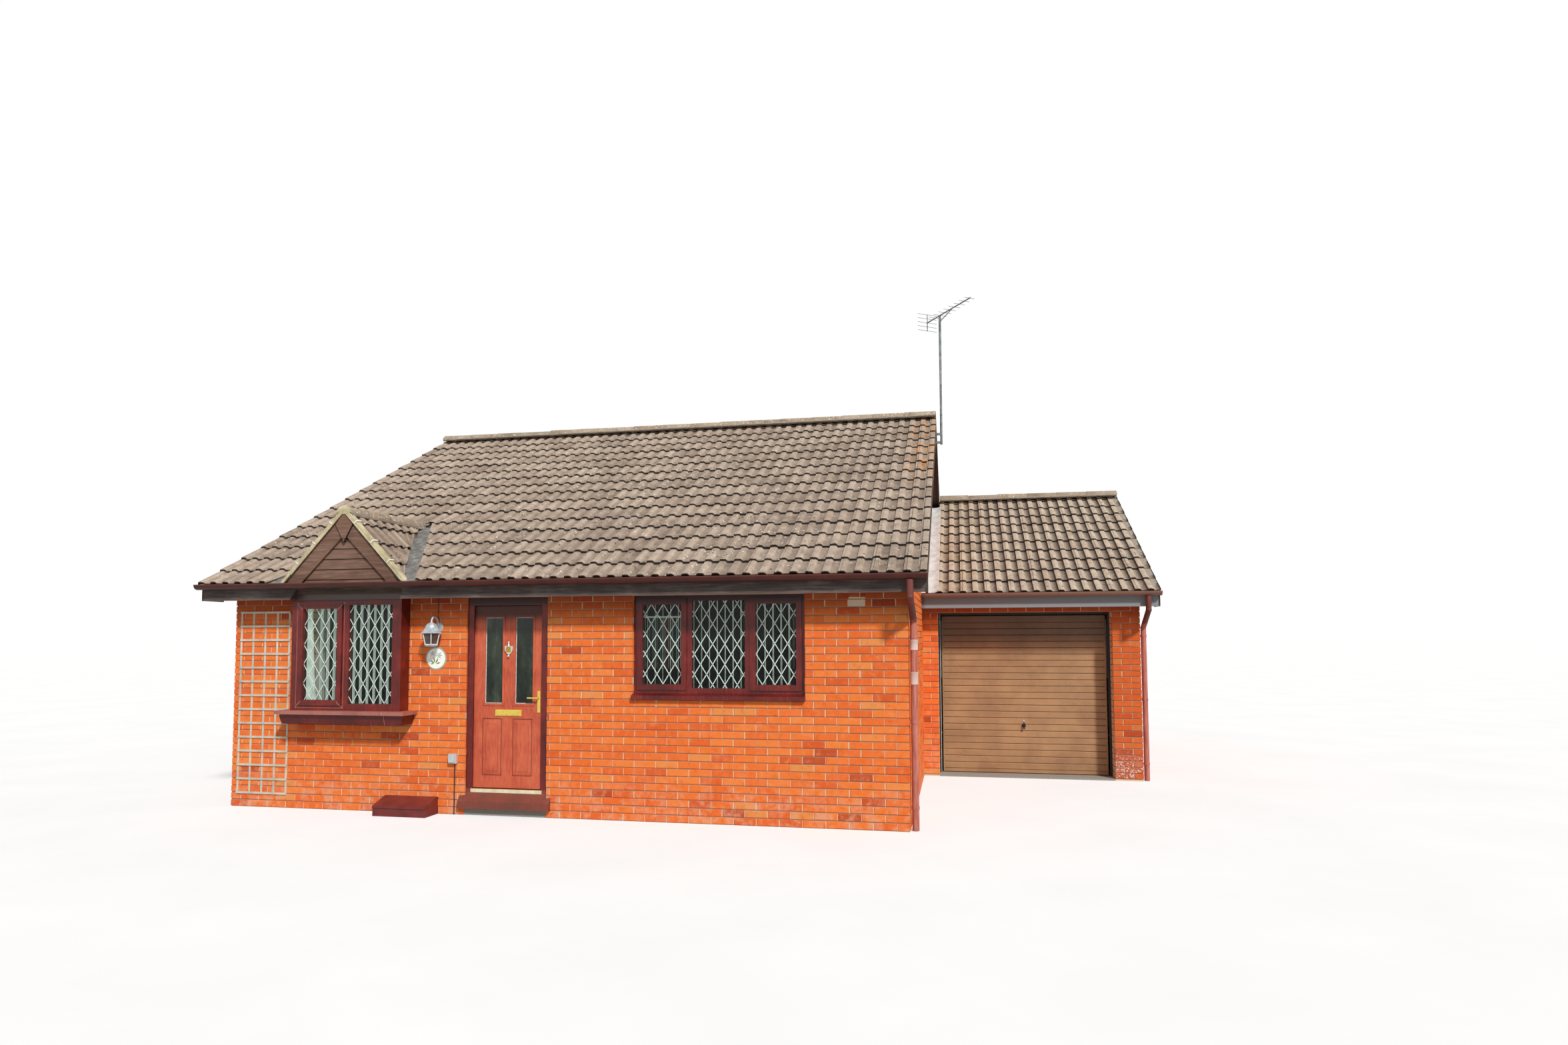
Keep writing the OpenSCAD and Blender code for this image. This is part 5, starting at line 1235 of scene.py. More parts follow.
def valley(side):
    """Grid beside the valley line: s up the slope, w across it, narrower towards the top."""
    s = np.linspace((GABLET_BACK - 0.07 + EAVES_OVER) / math.cos(PITCH), REACH - 0.05, 34)[:, None]
    w = np.linspace(-0.090, 0.200 - 0.05 * (s / REACH) ** 3, 14, axis=-1).reshape(34, 14)
    x = GABLET_X + side * (valley_half(s) + w)
    y = -EAVES_OVER + s * math.cos(PITCH) + 0 * w
    if side < 0:
        x, y = x[:, ::-1], y[:, ::-1]
    return lead_sheet(x, y, valley_surface)


saddle_x, saddle_y = np.meshgrid(np.linspace(-0.115, 0.115, 13),
                                 np.linspace(valley_back - 0.02, valley_back + 0.12, 9))
saddle = lead_sheet(GABLET_X + saddle_x, saddle_y, lambda x, y: house_top(y) - 0.014)
sheets = joined(valley(1), valley(-1), saddle)
leads = add_piece("lead_valleys", *sheets, lead.mat, "lead", smooth=50)
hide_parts("lead_flashings")

flash = mottled("pale flashing", 8, 5, (0.3, (176, 184, 180)), (0.6, (214, 220, 218)),
                (0.8, (232, 234, 232)), grain=0.6, rough=0.6)
flash.bump(flash.noise(30, 4), 0.003, 0.5)
s_line = np.linspace(-0.004, ABUT - 0.012, 60)[:, None]
x_line = np.linspace(HOUSE_W + 0.002, HOUSE_W + 0.228, 10)[None]
flash_x = x_line + 0 * s_line
flash_y = GARAGE_Y - EAVES_OVER + s_line * math.cos(PITCH) + 0 * x_line


def flashing_surface(x, y):
    """Flat beside the wall, rising onto the first roll of the tiles at its outer edge."""
    return garage_top(y) - 0.004 + 0.020 * np.clip((x - HOUSE_W - 0.17) / 0.05, 0, 1)


add_piece("pale_flashing", *lead_sheet(flash_x, flash_y, flashing_surface), flash.mat, "lead", smooth=50)

# %% [markdown]
# ## Timber at the eaves, gablet boards and barge boards
# These stay CAD solids. Stained timber has grain along the board and fades unevenly, so stretched
# noise gives both the colour and a slight relief.

# %% Timber finishes
def board_finish(name, dark, mid, light, along, edge=None):
    """Grain from noise stretched along the board; edge can tint the result."""
    board = Finish(name, rough=0.75, Specular_IOR_Level=0.3)
    grain = board.noise(14, 6, 0.65, place=board.stretched(*along))
    cloudy = board.noise(2.6, 4)
    both = board.plus(board.times(grain, 0.6), board.times(cloudy, 0.4))
    shade = board.ramp(both, (0.32, dark), (0.5, mid), (0.68, light))
    board.colour(edge(board, shade) if edge else shade)
    board.bump(grain, 0.003, 0.6)
    return board


def on_garage(finish):
    """1 on what belongs to the garage, further back and to the right of the house's front."""
    return finish.times(finish.beyond("Y", 2.9, 3.1), finish.beyond("X", 7.3, 7.4))


def faded_edge(board, shade):
    """The lower edge of the fascia is worn to a paler, redder band, and the garage's has gone grey."""
    shade = board.tint(shade, (132, 92, 80), board.beyond("Z", 2.238, 2.226), 0.45)
    return board.tint(shade, (140, 146, 150), on_garage(board), 0.9)


fascia = board_finish("weathered fascia", (50, 44, 42), (82, 72, 68), (120, 110, 104),
                      along=(0.25, 2, 3.5), edge=faded_edge)
dress(fascia, "front_eaves", "rear_eaves")
barge = board_finish("barge board", (48, 38, 34), (70, 56, 50), (96, 80, 72), along=(2, 0.3, 2))
dress(barge, "barge_boards")


def lap_and_key_shade(board, shade):
    """Painted shade: dark lines under the laps of the level boards and round the keystone at the top."""
    off = board.away(board.axis("X"), GABLET_X)
    z = board.axis("Z")
    step = board.calc("FRACT", board.calc("DIVIDE", board.minus(z, LAP_Z), LAP_PITCH))
    within = board.between(board.plus(off, z), 2.908, 2.9)
    lap = board.times(board.between(step, 0.905, 0.925), within)
    # The keystone is a kite: its half width is the lower of two slanted lines, from its foot and top
    kite = board.calc("MINIMUM", board.times(board.minus(z, KEY_FOOT), KEY_HALF / 0.19),
                      board.times(board.minus(KEY_TOP, z), KEY_HALF / 0.136))
    key = board.between(board.away(kite, off), 0.0055, 0.0025)
    key = board.times(key, board.between(z, 2.815, 2.825))
    stone = board.between(board.minus(kite, off), 0.0, 0.004)
    shade = board.tint(shade, (168, 128, 104), stone, 0.18)
    # Painted shade under the laps and round the keystone
    return board.tint(shade, (26, 17, 15), board.most(lap, key), 0.92)


LAP_Z, LAP_PITCH = 2.4356, 0.107
KEY_FOOT, KEY_TOP, KEY_HALF = 2.8196, 3.1456, 0.103
gable_boards = board_finish("gablet board", (82, 56, 46), (118, 89, 74), (148, 118, 101),
                            along=(0.3, 2, 4), edge=lap_and_key_shade)
dress(gable_boards, "gablet_boards")
print("timber dressed")

# %% [markdown]
# ## Gutters and downpipes
# The plastic has gone matt in the sun: red-brown in the gutter, dark on the swan neck, and pink on
# the straight pipe. Brackets and unions are bands round the half-round gutter, each a short arc with
# a rectangular section.

# %% Rainwater finishes
def plastic(name, dark, light, rough, shift=None):
    """Cloudy, matt plastic; shift can change its shade from place to place."""
    skin = Finish(name, rough=rough)
    fade = skin.noise(5, 5, 0.6)
    shade = skin.ramp(fade, (0.3, dark), (0.7, light))
    skin.colour(shift(skin, shade) if shift else shade)
    skin.feed("Roughness", skin.noise(24, 3), rough - 0.1, rough + 0.15)
    skin.bump(skin.noise(90, 3), 0.0006, 0.5)
    return skin


def bleached(skin, shade):
    """Below the swan neck the pipe is bleached to a dusty pink."""
    low = skin.beyond("Z", 1.99, 1.93)
    streak = skin.noise(8, 5, 0.6, place=skin.stretched(6, 6, 0.6))
    pink = skin.ramp(streak, (0.3, (158, 74, 62)), (0.7, (204, 130, 112)))
    return skin.mix(low, shade, pink)


def rim_highlight_and_bleach(skin, shade):
    """A painted highlight along the rim, and the garage's gutter is bleached to a greyish brown."""
    # Painted highlight along the top of the rim
    rim = skin.most(skin.beyond("Z", 2.385, 2.391),
                    skin.times(skin.beyond("Y", 2.9, 3.1), skin.beyond("Z", 2.355, 2.361)))
    shade = skin.tint(shade, (138, 74, 58), rim, 0.55)
    return skin.tint(shade, (146, 108, 90), on_garage(skin), 0.75)


gutter_skin = plastic("red-brown gutter", (58, 19, 14), (88, 33, 24), 0.30, rim_highlight_and_bleach)
bracket_skin = plastic("dark bracket", (52, 22, 18), (84, 40, 30), 0.5)
pipe_skin = plastic("red-brown pipe", (84, 34, 28), (118, 56, 46), 0.5, bleached)
pale_skin = plastic("bleached socket", (204, 158, 146), (234, 212, 202), 0.5)
dress(gutter_skin, "gutters")
dress(pipe_skin, "downpipes")


def band(x, cy, cz, r1, width, r0=0.0545):
    """An arc of rectangular section round the lower half of a gutter: four corners at each angle."""
    a = np.radians(np.linspace(180, 360, 15))
    corner = [(r0, -width / 2), (r1, -width / 2), (r1, width / 2), (r0, width / 2)]
    ring = np.stack([np.stack([np.full(15, x + w), cy + r * np.cos(a), cz + r * np.sin(a)], axis=1)
                     for r, w in corner], axis=1)
    return flipped(through(ring))


front_gutter = (-FASCIA_OUT - 0.0563, EAVES_Z - 0.018)
garage_gutter = (GARAGE_Y - FASCIA_OUT - 0.0563, GARAGE_EAVES_Z - 0.018)
BRACKET_R, BRACKET_W, UNION_R, UNION_W = 0.0560, 0.026, 0.0558, 0.020
bands = [band(x, *front_gutter, BRACKET_R, BRACKET_W)
         for x in (0.35, 1.30, 2.25, 3.06, 3.79, 4.929, 5.935, 6.913)]
bands += [band(x + d, *front_gutter, UNION_R, UNION_W) for x in (2.25, 5.4) for d in (-0.05, 0.05)]
bands.append(band(7.365, *front_gutter, BRACKET_R, 0.110))
bands += [band(x, *garage_gutter, BRACKET_R, BRACKET_W) for x in (8.153, 9.016)]
bands.append(band(10.075, *garage_gutter, BRACKET_R, 0.100))
add_piece("gutter_brackets", *joined(*bands), bracket_skin.mat, "rainwater_plastic", smooth=40)

ROUND_PIPE = (7.375, 0.053)
sockets = []
for low_z, high_z in ((1.690, 1.787), (1.365, 1.482)):
    profile = [(0.0335, low_z), (0.0385, low_z), (0.0390, high_z - 0.012), (0.0405, high_z - 0.010),
               (0.0405, high_z), (0.0335, high_z), (0.0335, low_z)]
    sockets.append(turned(profile, (*ROUND_PIPE, 0), sides=28))
add_piece("pipe_sockets", *joined(*sockets), pale_skin.mat, "rainwater_plastic", smooth=40)

# %% [markdown]
# ## Windows
# The frames are stained mahogany. In front of every pane lies a lattice of white lead came. A
# lattice is two families of slanted lines clipped to the pane, worked out for all lines at once. The
# glass itself is the CAD pane with a clear finish, over the white vertical blinds.

# %% Joinery, glass and blinds
def stained(name, dark, mid, light, rough=0.42, edge=None):
    """Stained joinery: upright grain and cloudy fading; edge can tint the result."""
    wood = Finish(name, rough=rough)
    grain = wood.noise(26, 6, 0.65, place=wood.stretched(2.2, 2.2, 0.35))
    fade = wood.noise(3.2, 4)
    both = wood.plus(wood.times(grain, 0.5), wood.times(fade, 0.5))
    shade = wood.ramp(both, (0.32, dark), (0.5, mid), (0.7, light))
    wood.colour(edge(wood, shade) if edge else shade)
    wood.feed("Roughness", fade, rough - 0.08, rough + 0.18)
    wood.bump(grain, 0.0012, 0.6)
    return wood


def head_shade_and_worn_sill(wood, shade):
    """The head of a frame, just under the eaves, carries painted shade, and the door's sill is worn."""
    shade = wood.tint(shade, (180, 124, 98), wood.beyond("Z", 0.27, 0.262), 0.2)
    # Painted shade of the eaves on the head of the frame
    return wood.tint(shade, (24, 17, 14), wood.beyond("Z", 2.13, 2.18), 0.8)


CASEMENT_X, CASEMENT_Z = (0.884, 1.455), (1.083, 2.196)


def bay_details(wood, shade):
    """Thin pale lines at the mitres of the casement, a painted highlight round its outer edge, and a
    weathered board as the head of the bay.
    """
    lines = 0.0
    for x, right in ((CASEMENT_X[0], 1), (CASEMENT_X[1], -1)):
        for z, up in ((CASEMENT_Z[1], -1), (CASEMENT_Z[0], 1)):
            lines = wood.most(wood.mitre(x, z, right, up, 0.074, 0.0024), lines)
    # Painted highlight round the casement's rounded outer edge
    edge = wood.outline(CASEMENT_X[0] + 0.004, CASEMENT_X[1] - 0.004, CASEMENT_Z[0] + 0.004,
                        CASEMENT_Z[1] - 0.004, 0.008)
    shade = wood.tint(shade, (186, 120, 104), edge, 0.35)
    shade = wood.tint(shade, (226, 184, 160), lines, 0.95)
    head = wood.times(wood.beyond("Z", 2.22, 2.223), wood.beyond("Y", -0.155, -0.16))
    return wood.mix(head, shade, (84, 70, 62))


def pale_nosing(wood, shade):
    """The nosing of the sill has faded most, where rain and sun reach it."""
    nose = wood.beyond("Z", 1.02, 1.024)
    worn = wood.between(wood.noise(6, 5, 0.6), 0.3, 0.6)
    shade = wood.tint(shade, (178, 112, 98), nose, wood.plus(wood.times(worn, 0.35), 0.5))
    joint = wood.between(wood.away(wood.axis("X"), 1.985), 0.003, 0.001)
    return wood.tint(shade, (206, 150, 136), joint, 0.7)


mahogany = stained("mahogany stain", (62, 12, 11), (100, 24, 19), (138, 44, 33), 0.34, head_shade_and_worn_sill)
dress(mahogany, "window_frames", "door_frame")
bay_mahogany = stained("mahogany of the bay", (62, 12, 11), (100, 24, 19), (138, 44, 33), 0.32,
                       bay_details)
dress(bay_mahogany, "bay_window_frame")
deep_mahogany = stained("deep mahogany stain", (60, 14, 13), (92, 24, 21), (124, 44, 36), 0.4,
                        pale_nosing)
dress(deep_mahogany, "bay_sill")

glass = Finish("window glass", rough=0.03, IOR=1.5)
glass.colour(glass.ramp(glass.noise(1.3, 2), (0.3, (22, 28, 26)), (0.7, (40, 48, 44))))
rear_panes = glass.beyond("Y", 4.0, 4.2)
glass.feed("Alpha", rear_panes, 0.20, 1.0)
glass.bump(glass.noise(2.2, 2), 0.004, 0.25)
dress(glass, "window_glass")
door_glass = Finish("dark door glass", rough=0.06, IOR=1.45)
murk = door_glass.noise(5, 4, 0.6, place=door_glass.stretched(2, 1, 0.7))
pane_shade = door_glass.ramp(murk, (0.35, (24, 32, 26)), (0.6, (54, 64, 50)), (0.8, (98, 106, 84)))
right_pane = door_glass.times(door_glass.beyond("X", 3.2, 3.21), 0.5)
door_glass.colour(door_glass.mix(right_pane, pane_shade, (8, 12, 8)))
door_glass.bump(door_glass.noise(40, 3), 0.002, 0.3)
dress(door_glass, "front_door_glass")

fabric = mottled("white blind fabric", 400, 3, (0.3, (206, 222, 208)), (0.7, (232, 242, 232)), grain=0.6,
                 along=(1, 1, 3), bump=(0.0008,), rough=0.85)
# Painted light: the cloth glows a little, standing in for daylight through it, more of it in the bay
cloth_glow = fabric.beyond("X", 2.6, 2.2)
fabric.feed("Emission Strength", cloth_glow, 0.14, 0.27)
fabric.shader.inputs["Emission Color"].default_value = paint(222, 240, 226)
dress(fabric, "window_blinds")


# %% Lattice
def islands(node):
    """Boxes of a CAD node's separate solids: corners that share a place share the lowest label."""
    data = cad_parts[node].data
    co = np.zeros(len(data.vertices) * 3, np.float32)
    data.vertices.foreach_get("co", co)
    _, place = np.unique(np.round(co.reshape(-1, 3), 5), axis=0, return_inverse=True)
    place = place.ravel()
    data.calc_loop_triangles()
    tri = np.zeros(len(data.loop_triangles) * 3, np.int32)
    data.loop_triangles.foreach_get("vertices", tri)
    tri = place[tri.reshape(-1, 3)]
    label = np.arange(place.max() + 1)
    for _ in range(60):
        low = label[tri].min(axis=1)
        np.minimum.at(label, tri.ravel(), np.repeat(low, 3))
    spots = co.reshape(-1, 3)
    groups = label[place]
    return [(spots[groups == g].min(axis=0), spots[groups == g].max(axis=0)) for g in np.unique(groups)]


def came_lines(x0, x1, z0, z1, wide, high, cross):
    """Both families of diamond lines through one crossing, clipped: x = c + sign (z - z0) wide / high."""
    lines = []
    run = (z1 - z0) * wide / high
    for sign in (1, -1):
        lo, hi = (x0 - run, x1) if sign > 0 else (x0, x1 + run)
        foot = cross[0] - sign * (cross[1] - z0) * wide / high
        c = foot + wide * np.arange(math.ceil((lo - foot) / wide), math.floor((hi - foot) / wide) + 1)
        ta = (x0 - c) * sign * high / wide
        tb = (x1 - c) * sign * high / wide
        start, end = np.maximum(np.minimum(ta, tb), 0), np.minimum(np.maximum(ta, tb), z1 - z0)
        keep = end - start > 0.01
        start, end, c = start[keep], end[keep], c[keep]
        a = np.stack([c + sign * start * wide / high, z0 + start], axis=1)
        b = np.stack([c + sign * end * wide / high, z0 + end], axis=1)
        lines.append(np.stack([a, b], axis=1))
    return np.concatenate(lines)


def came_strips(lines, y_front, y_back, width):
    """Each line as a flat strip of that width, standing from y_back to y_front."""
    way = lines[:, 1] - lines[:, 0]
    way /= np.linalg.norm(way, axis=1, keepdims=True)
    side = np.stack([-way[:, 1], way[:, 0]], axis=1) * width / 2
    corner = np.stack([lines[:, 0] - side, lines[:, 1] - side, lines[:, 1] + side, lines[:, 0] + side], 1)
    front = np.insert(corner, 1, y_front, axis=2)
    back = np.insert(corner, 1, y_back, axis=2)
    points = np.concatenate([front, back], axis=1).reshape(-1, 3)
    faces = np.array([[0, 1, 2, 3], [4, 7, 6, 5], [1, 0, 4, 5], [2, 1, 5, 6], [3, 2, 6, 7], [0, 3, 7, 4]])
    if y_front > y_back:
        faces = faces[:, ::-1]
    return points, many(len(lines), 8, faces)


white_came = mottled("white lattice", 50, 4, (0.25, (190, 212, 202)), (0.6, (226, 240, 232)),
                     bump=(0.0004,), rough=0.5)
came, pane_boxes = [], islands("window_glass")
# Width and height of a diamond, and width of its strips, in the bay and elsewhere
BAY_DIAMOND, DIAMOND = (0.1255, 0.2035, 0.0072), (0.1252, 0.2000, 0.0080)
# One crossing per front pane, as X and Z; a pane takes the one that lies within it
CROSSINGS = [(1.149, 2.054), (1.550, 2.155), (4.769, 2.151), (5.281, 2.148), (5.909, 2.151)]
for low, high in pane_boxes:
    outward = -1 if high[1] < 4 else 1
    face = low[1] if outward < 0 else high[1]
    wide, tall, strip = BAY_DIAMOND if low[1] < 0 else DIAMOND
    near = [cross for cross in CROSSINGS if outward < 0 and low[0] < cross[0] < high[0]]
    cross = near[0] if near else ((low[0] + high[0]) / 2, high[2])
    lines = came_lines(low[0], high[0], low[2], high[2], wide, tall, cross)
    came.append(came_strips(lines, face + outward * 0.0025, face - outward * 0.0005, strip))
    print("pane", [round(float(v), 3) for v in (low[0], high[0], low[1], low[2], high[2])])
add_piece("window_lattice", *joined(*came), white_came.mat, "glass")
print("panes with lattice:", len(pane_boxes))

# %% [markdown]
# A net curtain is drawn to the left in the bay. It is the same kind of sheet as the lead, stood
# upright: its folds are a sine wave, and its free edge hangs outwards towards the foot.

# %% Net curtain
FOLDS = 6
cloth, rise = np.meshgrid(np.linspace(0, 1, 12 * FOLDS + 1), np.linspace(0, 1, 9))
NET_LEFT, NET_FOOT, NET_TOP = 0.905, 1.100, SOFFIT_Z - 0.004
free_edge = 1.060 - 0.080 * rise ** 0.6
net_x = NET_LEFT + cloth * (free_edge - NET_LEFT)
net_z = NET_FOOT + rise * (NET_TOP - NET_FOOT)
folds = -0.045 + 0.012 * np.sin(2 * np.pi * FOLDS * cloth)
net, net_faces = lead_sheet(net_x, net_z, lambda x, z: folds, 0.0015)
curtain = flipped((net[:, [0, 2, 1]], net_faces))
add_piece("bay_net_curtain", *curtain, fabric.mat, "blind_fabric", smooth=60)

# %% [markdown]
# ## Front door
# The leaf is a faded red-brown with raised panels, which the CAD model has. Pale seals show round
# its two panes, a pale strip runs along the threshold, and the letter plate, knocker and levers are
# brass.

# %% Front door
DOOR_PANELS = [(2.943, 3.155), (3.281, 3.493)]
GROOVE_Z, FIELD_Z = (0.405, 0.981), (0.448, 0.929)


def panel_and_head_shade(wood, shade):
    """Painted shade in the grooves round the two lower panels and round their flat fields, and over the top
    of the leaf.
    """
    dark = 0.0
    for x0, x1 in DOOR_PANELS:
        groove = wood.outline(x0 + 0.003, x1 - 0.003, *GROOVE_Z, 0.006)
        field = wood.times(wood.outline(x0 + 0.038, x1 - 0.038, *FIELD_Z, 0.003), 0.5)
        dark = wood.most(groove, field, dark)
    # Painted shade in the grooves and round the fields, and over the top of the leaf
    shade = wood.tint(shade, (72, 22, 16), dark, 0.75)
    return wood.tint(shade, (32, 23, 20), wood.beyond("Z", 1.95, 2.07), 0.88)


faded = stained("faded red-brown door", (166, 62, 42), (200, 92, 60), (218, 116, 80), 0.5, panel_and_head_shade)
dress(faded, "front_door")
brass = Finish("worn brass", rough=0.34, Metallic=0.35)
tarnish = brass.noise(40, 4)
yellow = brass.ramp(tarnish, (0.3, (230, 198, 84)), (0.7, (242, 216, 104)))
leaf_lo, leaf_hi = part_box("front_door")
# The knocker is silver-grey but for the brass shield in its middle
middle = brass.away(brass.axis("X"), (leaf_lo[0] + leaf_hi[0]) / 2 + 0.005)
shield = brass.times(brass.between(middle, 0.03, 0.024), brass.beyond("Z", 1.665, 1.668),
                     brass.beyond("Z", 1.722, 1.719))
high_up = brass.beyond("Z", 1.55, 1.56)
silver = brass.times(high_up, brass.minus(1.0, shield))
worn = brass.tint(yellow, (176, 146, 52), high_up, shield)
brass.colour(brass.mix(silver, worn, (214, 212, 200)))
brass.feed("Roughness", tarnish, 0.2, 0.42)
dress(brass, "front_door_furniture")

seal_pale = mottled("pale seal", 30, 3, (0.3, (206, 200, 190)), (0.7, (240, 238, 230)), rough=0.6)
seals = []
for low, high in islands("front_door_glass"):
    y0, y1 = low[1] - 0.0035, low[1] - 0.0002
    left, right, foot, top = low[0], high[0], low[2], high[2]
    # Left, right, lower and upper strip, as (x0, x1, z0, z1)
    for x0, x1, z0, z1 in ((left, left + 0.006, foot, top), (right - 0.006, right, foot, top),
                           (left + 0.0061, right - 0.0061, foot, foot + 0.006),
                           (left + 0.0061, right - 0.0061, top - 0.004, top)):
        seals.append(boxes([x0, y0, z0], [x1, y1, z1]))
add_piece("door_pane_seals", *joined(*seals), seal_pale.mat, "door_red", body="door_leaf")
threshold = mottled("threshold strip", 16, 4, (0.3, (222, 208, 168)), (0.7, (246, 236, 198)), rough=0.45,
                    Metallic=0.3)
add_piece("threshold_strip", *boxes([2.834, 0.0165, 0.2300], [3.621, 0.0199, 0.2675]), threshold.mat,
          "dark_timber")

# %% [markdown]
# ## Garage door
# The pressed sheet with its ribs is a CAD solid. Its paint is a tan-brown that has faded unevenly.
# Painted shade lies in the grooves, which lie at even steps in Z on the closed door, and over the
# upper part of the door under the eaves, and the faces that look up carry a painted highlight.

# %% Garage door
door_paint = Finish("tan-brown garage paint", rough=0.5)
fade = door_paint.noise(2.4, 4)
fine = door_paint.noise(70, 4, place=door_paint.stretched(0.3, 1, 3))
shade = door_paint.ramp(fade, (0.35, (152, 112, 77)), (0.65, (178, 136, 94)))
shade = door_paint.tint(shade, (204, 168, 126), door_paint.between(fine, 0.5, 0.7), 0.25)
panel_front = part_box("garage_door")[0][1]
# Painted shade in the grooves, set back from the front of the panel
groove_shade = door_paint.beyond("Y", panel_front + 0.0035, panel_front + 0.0085)
shade = door_paint.tint(shade, (62, 40, 30), groove_shade, 0.75)
# Painted highlight on the faces of the ribs that look up
upward = door_paint.between(door_paint.facing("Z"), 0.3, 0.6)
shade = door_paint.tint(shade, (216, 184, 146), upward, 0.6)
# Painted shade of the eaves over the upper part of the door
door_eaves_shade = door_paint.beyond("Z", 1.62, 1.86)
shade = door_paint.tint(shade, (48, 34, 27), door_eaves_shade, 0.66)
door_paint.colour(shade)
door_paint.bump(fine, 0.0006, 0.5)
dress(door_paint, "garage_door")
dark_paint = stained("dark door posts", (19, 13, 11), (28, 20, 16), (42, 30, 25))
dress(dark_paint, "garage_door_frame")
black = Finish("black metal", rough=0.4, Metallic=0.3)
# The key cylinder at the handle's top is bright
black_shade = black.ramp(black.noise(60, 3), (0.3, (16, 16, 17)), (0.7, (36, 36, 38)))
handle_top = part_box("garage_door_handle")[1][2]
key = black.beyond("Z", handle_top - 0.03, handle_top - 0.027)
black.colour(black.mix(key, black_shade, (190, 190, 186)))
dress(black, "garage_door_handle")
steel = mottled("dull arm steel", 50, 4, (0.3, (96, 96, 98)), (0.7, (142, 142, 144)), rough=0.45,
                Metallic=0.85)
steel.bump(steel.noise(120, 3), 0.0005)
dress(steel, "lifting_arms")
strip_white = mottled("white edge strip", 20, 3, (0.3, (190, 186, 176)), (0.7, (228, 226, 218)), rough=0.6)
add_piece("garage_edge_strip", *boxes([7.5450, 3.7318, 0.030], [7.5500, 3.7350, 2.110]), strip_white.mat,
          "garage_door_paint")

# %% [markdown]
# ## The lantern
# A six-sided lantern hangs in front of the wall from a curved arm. Its roof, frame and foot are
# lathe shapes with six sides, the glazing bars are thin bars along the edges of the body, and the
# panes between them are darker and set in a little.

# %% Lantern
LAMP = np.array([2.445, -0.125, 1.868])
lamp_metal = mottled("grey-blue lamp metal", 30, 5, (0.3, (162, 174, 180)), (0.6, (204, 215, 218)),
                     (0.8, (228, 235, 236)), grain=0.6, bump=(0.0015, 0.5), rough=0.5, Metallic=0.25)
lamp_glass = mottled("smoky lamp glass", 14, 3, (0.3, (54, 40, 36)), (0.7, (104, 84, 76)), rough=0.15)
white_metal = mottled("pale lamp bars", 30, 3, (0.3, (196, 200, 204)), (0.7, (232, 234, 236)), rough=0.5)
black_cable = mottled("black cable", 80, 2, (0.3, (24, 20, 20)), (0.7, (48, 40, 38)), rough=0.6)

roof_part = turned([(0.0, -0.004), (0.108, -0.004), (0.115, 0.0), (0.115, 0.006), (0.100, 0.014),
                    (0.078, 0.040), (0.062, 0.056), (0.0, 0.056)], LAMP, sides=6)
dome = turned([(0.0, 0.050), (0.064, 0.050), (0.064, 0.058), (0.056, 0.080), (0.040, 0.096),
               (0.020, 0.105), (0.012, 0.112), (0.0, 0.114)], LAMP, sides=24)
foot = turned([(0.0, -0.140), (0.050, -0.140), (0.060, -0.136), (0.072, -0.126), (0.072, -0.120),
               (0.060, -0.118), (0.0, -0.118)], LAMP, sides=6)
# The arm follows a cubic curve from the wall over the lantern: four points, weighted by powers of t
t = np.linspace(0, 1, 18)[:, None]
bend = [np.array(p) for p in ([2.455, -0.010, 1.945], [2.453, -0.035, 2.075], [2.447, -0.135, 2.050],
                              [2.445, -0.125, 1.975])]
arm_path = ((1 - t) ** 3 * bend[0] + 3 * t * (1 - t) ** 2 * bend[1] + 3 * t ** 2 * (1 - t) * bend[2]
            + t ** 3 * bend[3])
arm = swept(arm_path, 0.0095, 12)
disc, disc_faces = turned([(0.0, 0.0), (0.052, 0.0), (0.052, 0.006), (0.044, 0.012), (0.0, 0.014)],
                          (0, 0, 0), sides=28)
plate = (np.stack([disc[:, 0] + 2.455, -disc[:, 2] - 0.0003, disc[:, 1] + 1.930], axis=1), disc_faces)
cable = swept([[2.447, -0.0053, 1.96], [2.447, -0.0053, 2.1], [2.447, -0.0053, 2.2347]], 0.0045, 8)
lantern = add_piece("lantern", *joined(roof_part, dome, foot, arm, plate), lamp_metal.mat,
                    "lamp_metal", smooth=35)
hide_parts("wall_lamp")
add_piece("lamp_cable", *cable, black_cable.mat, "lamp_metal", smooth=40)
body_glass = turned([(0.0, -0.122), (0.062, -0.122), (0.086, -0.004), (0.0, -0.004)], LAMP, sides=6)
add_piece("lantern_panes", *body_glass, lamp_glass.mat, "lamp_metal")
bars = []
for k in range(6):
    a = k * math.pi / 3
    ring = np.array([math.cos(a), math.sin(a), 0])
    bars.append(swept([LAMP + 0.066 * ring + [0, 0, -0.120], LAMP + 0.078 * ring + [0, 0, -0.062],
                       LAMP + 0.091 * ring + [0, 0, -0.004]], 0.0055, 8))
bars.append(turned([(0.064, -0.122), (0.070, -0.122), (0.070, -0.112), (0.064, -0.112),
                    (0.064, -0.122)], LAMP, sides=6))
add_piece("lantern_bars", *joined(*bars), white_metal.mat, "lamp_metal", smooth=35)

# %% [markdown]
# ## Plaque, trellis and the small fittings
# The plaque is a white glazed disc with a simple painted sprig of leaves, which is a design of no
# one's in particular. The trellis, meter box, socket and aerial keep their CAD shapes.

# %% Plaque
PLAQUE = (2.432, -0.0103, 1.604)
glaze = Finish("white glaze", rough=0.2, Coat_Weight=0.4)
craze = glaze.noise(18, 4)
white = glaze.ramp(craze, (0.3, (246, 248, 224)), (0.6, (253, 254, 242)))
off_centre = glaze.add("ShaderNodeVectorMath", {0: glaze.place, 1: PLAQUE},
                       operation="DISTANCE").outputs["Value"]
glaze.colour(glaze.mix(glaze.between(off_centre, 0.104, 0.108), white, (164, 168, 160)))
dress(glaze, "wall_plaque")


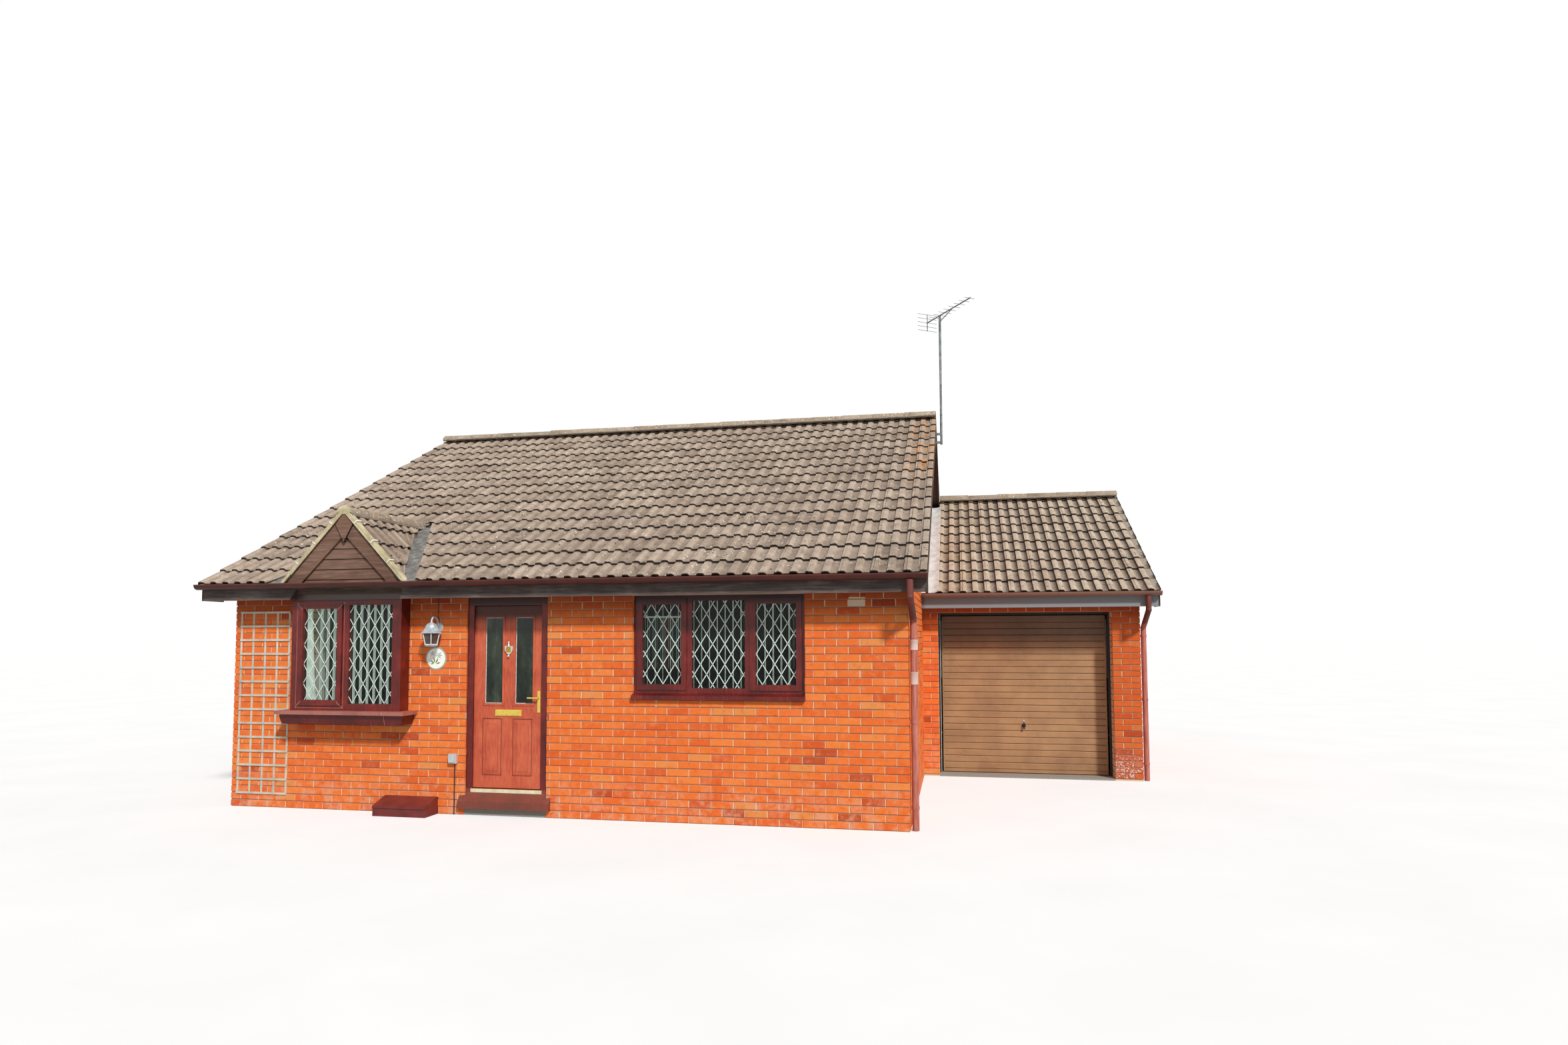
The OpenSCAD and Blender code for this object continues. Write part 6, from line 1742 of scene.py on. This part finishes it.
def leaf(x, z, length, width, turn):
    """A leaf outline: width times sin of the way along, on both sides of a straight middle line."""
    k = np.linspace(0, 1, 9)
    half = width / 2 * np.sin(np.pi * k)
    u = np.concatenate([k, k[-2:0:-1]]) * length
    v = np.concatenate([half, -half[-2:0:-1]])
    a = math.radians(turn)
    px, pz = x + u * math.cos(a) - v * math.sin(a), z + u * math.sin(a) + v * math.cos(a)
    return prism(*[np.stack([PLAQUE[0] + px, np.full(len(px), PLAQUE[1] - lift), PLAQUE[2] + pz], axis=1)
                   for lift in (0.0009, -0.0004)])


leaf_green = mottled("leaf green glaze", 60, 4, (0.3, (74, 92, 48)), (0.7, (132, 150, 82)), rough=0.25)
petal_grey = mottled("soft grey glaze", 50, 4, (0.3, (156, 166, 176)), (0.7, (198, 206, 212)), rough=0.25)
sprig = [leaf(-0.018, -0.048, 0.050, 0.016, 150), leaf(-0.012, -0.048, 0.062, 0.015, 102),
         leaf(-0.004, -0.050, 0.058, 0.015, 58), leaf(0.004, -0.056, 0.050, 0.014, 18),
         leaf(-0.022, -0.052, 0.040, 0.012, 188)]
add_piece("plaque_leaves", *joined(*sprig), leaf_green.mat, "plaque_ceramic")
petals = [leaf(0.034, 0.030, 0.040, 0.013, a) for a in range(0, 360, 60)]
petals += [leaf(-0.040, 0.050, 0.030, 0.010, a) for a in range(20, 380, 72)]
add_piece("plaque_petals", *joined(*petals), petal_grey.mat, "plaque_ceramic")

# %% Other fittings
trellis_skin = plastic("pale trellis", (176, 170, 152), (214, 210, 196), 0.6)
dress(trellis_skin, "trellis")
meter_skin = plastic("red-brown meter box", (92, 30, 28), (128, 50, 44), 0.45)
dress(meter_skin, "meter_box")


def dark_lead(skin, shade):
    """The cable below the socket is dark brown."""
    return skin.mix(skin.beyond("Z", 0.521, 0.519), shade, (62, 46, 40))


socket_skin = plastic("grey socket", (168, 174, 176), (204, 208, 208), 0.45, dark_lead)
dress(socket_skin, "outdoor_socket")
aerial_skin = mottled("dull aerial metal", 20, 4, (0.3, (92, 96, 98)), (0.7, (150, 154, 156)), rough=0.45,
                      Metallic=0.7)
dress(aerial_skin, "aerial")
print("fittings dressed")
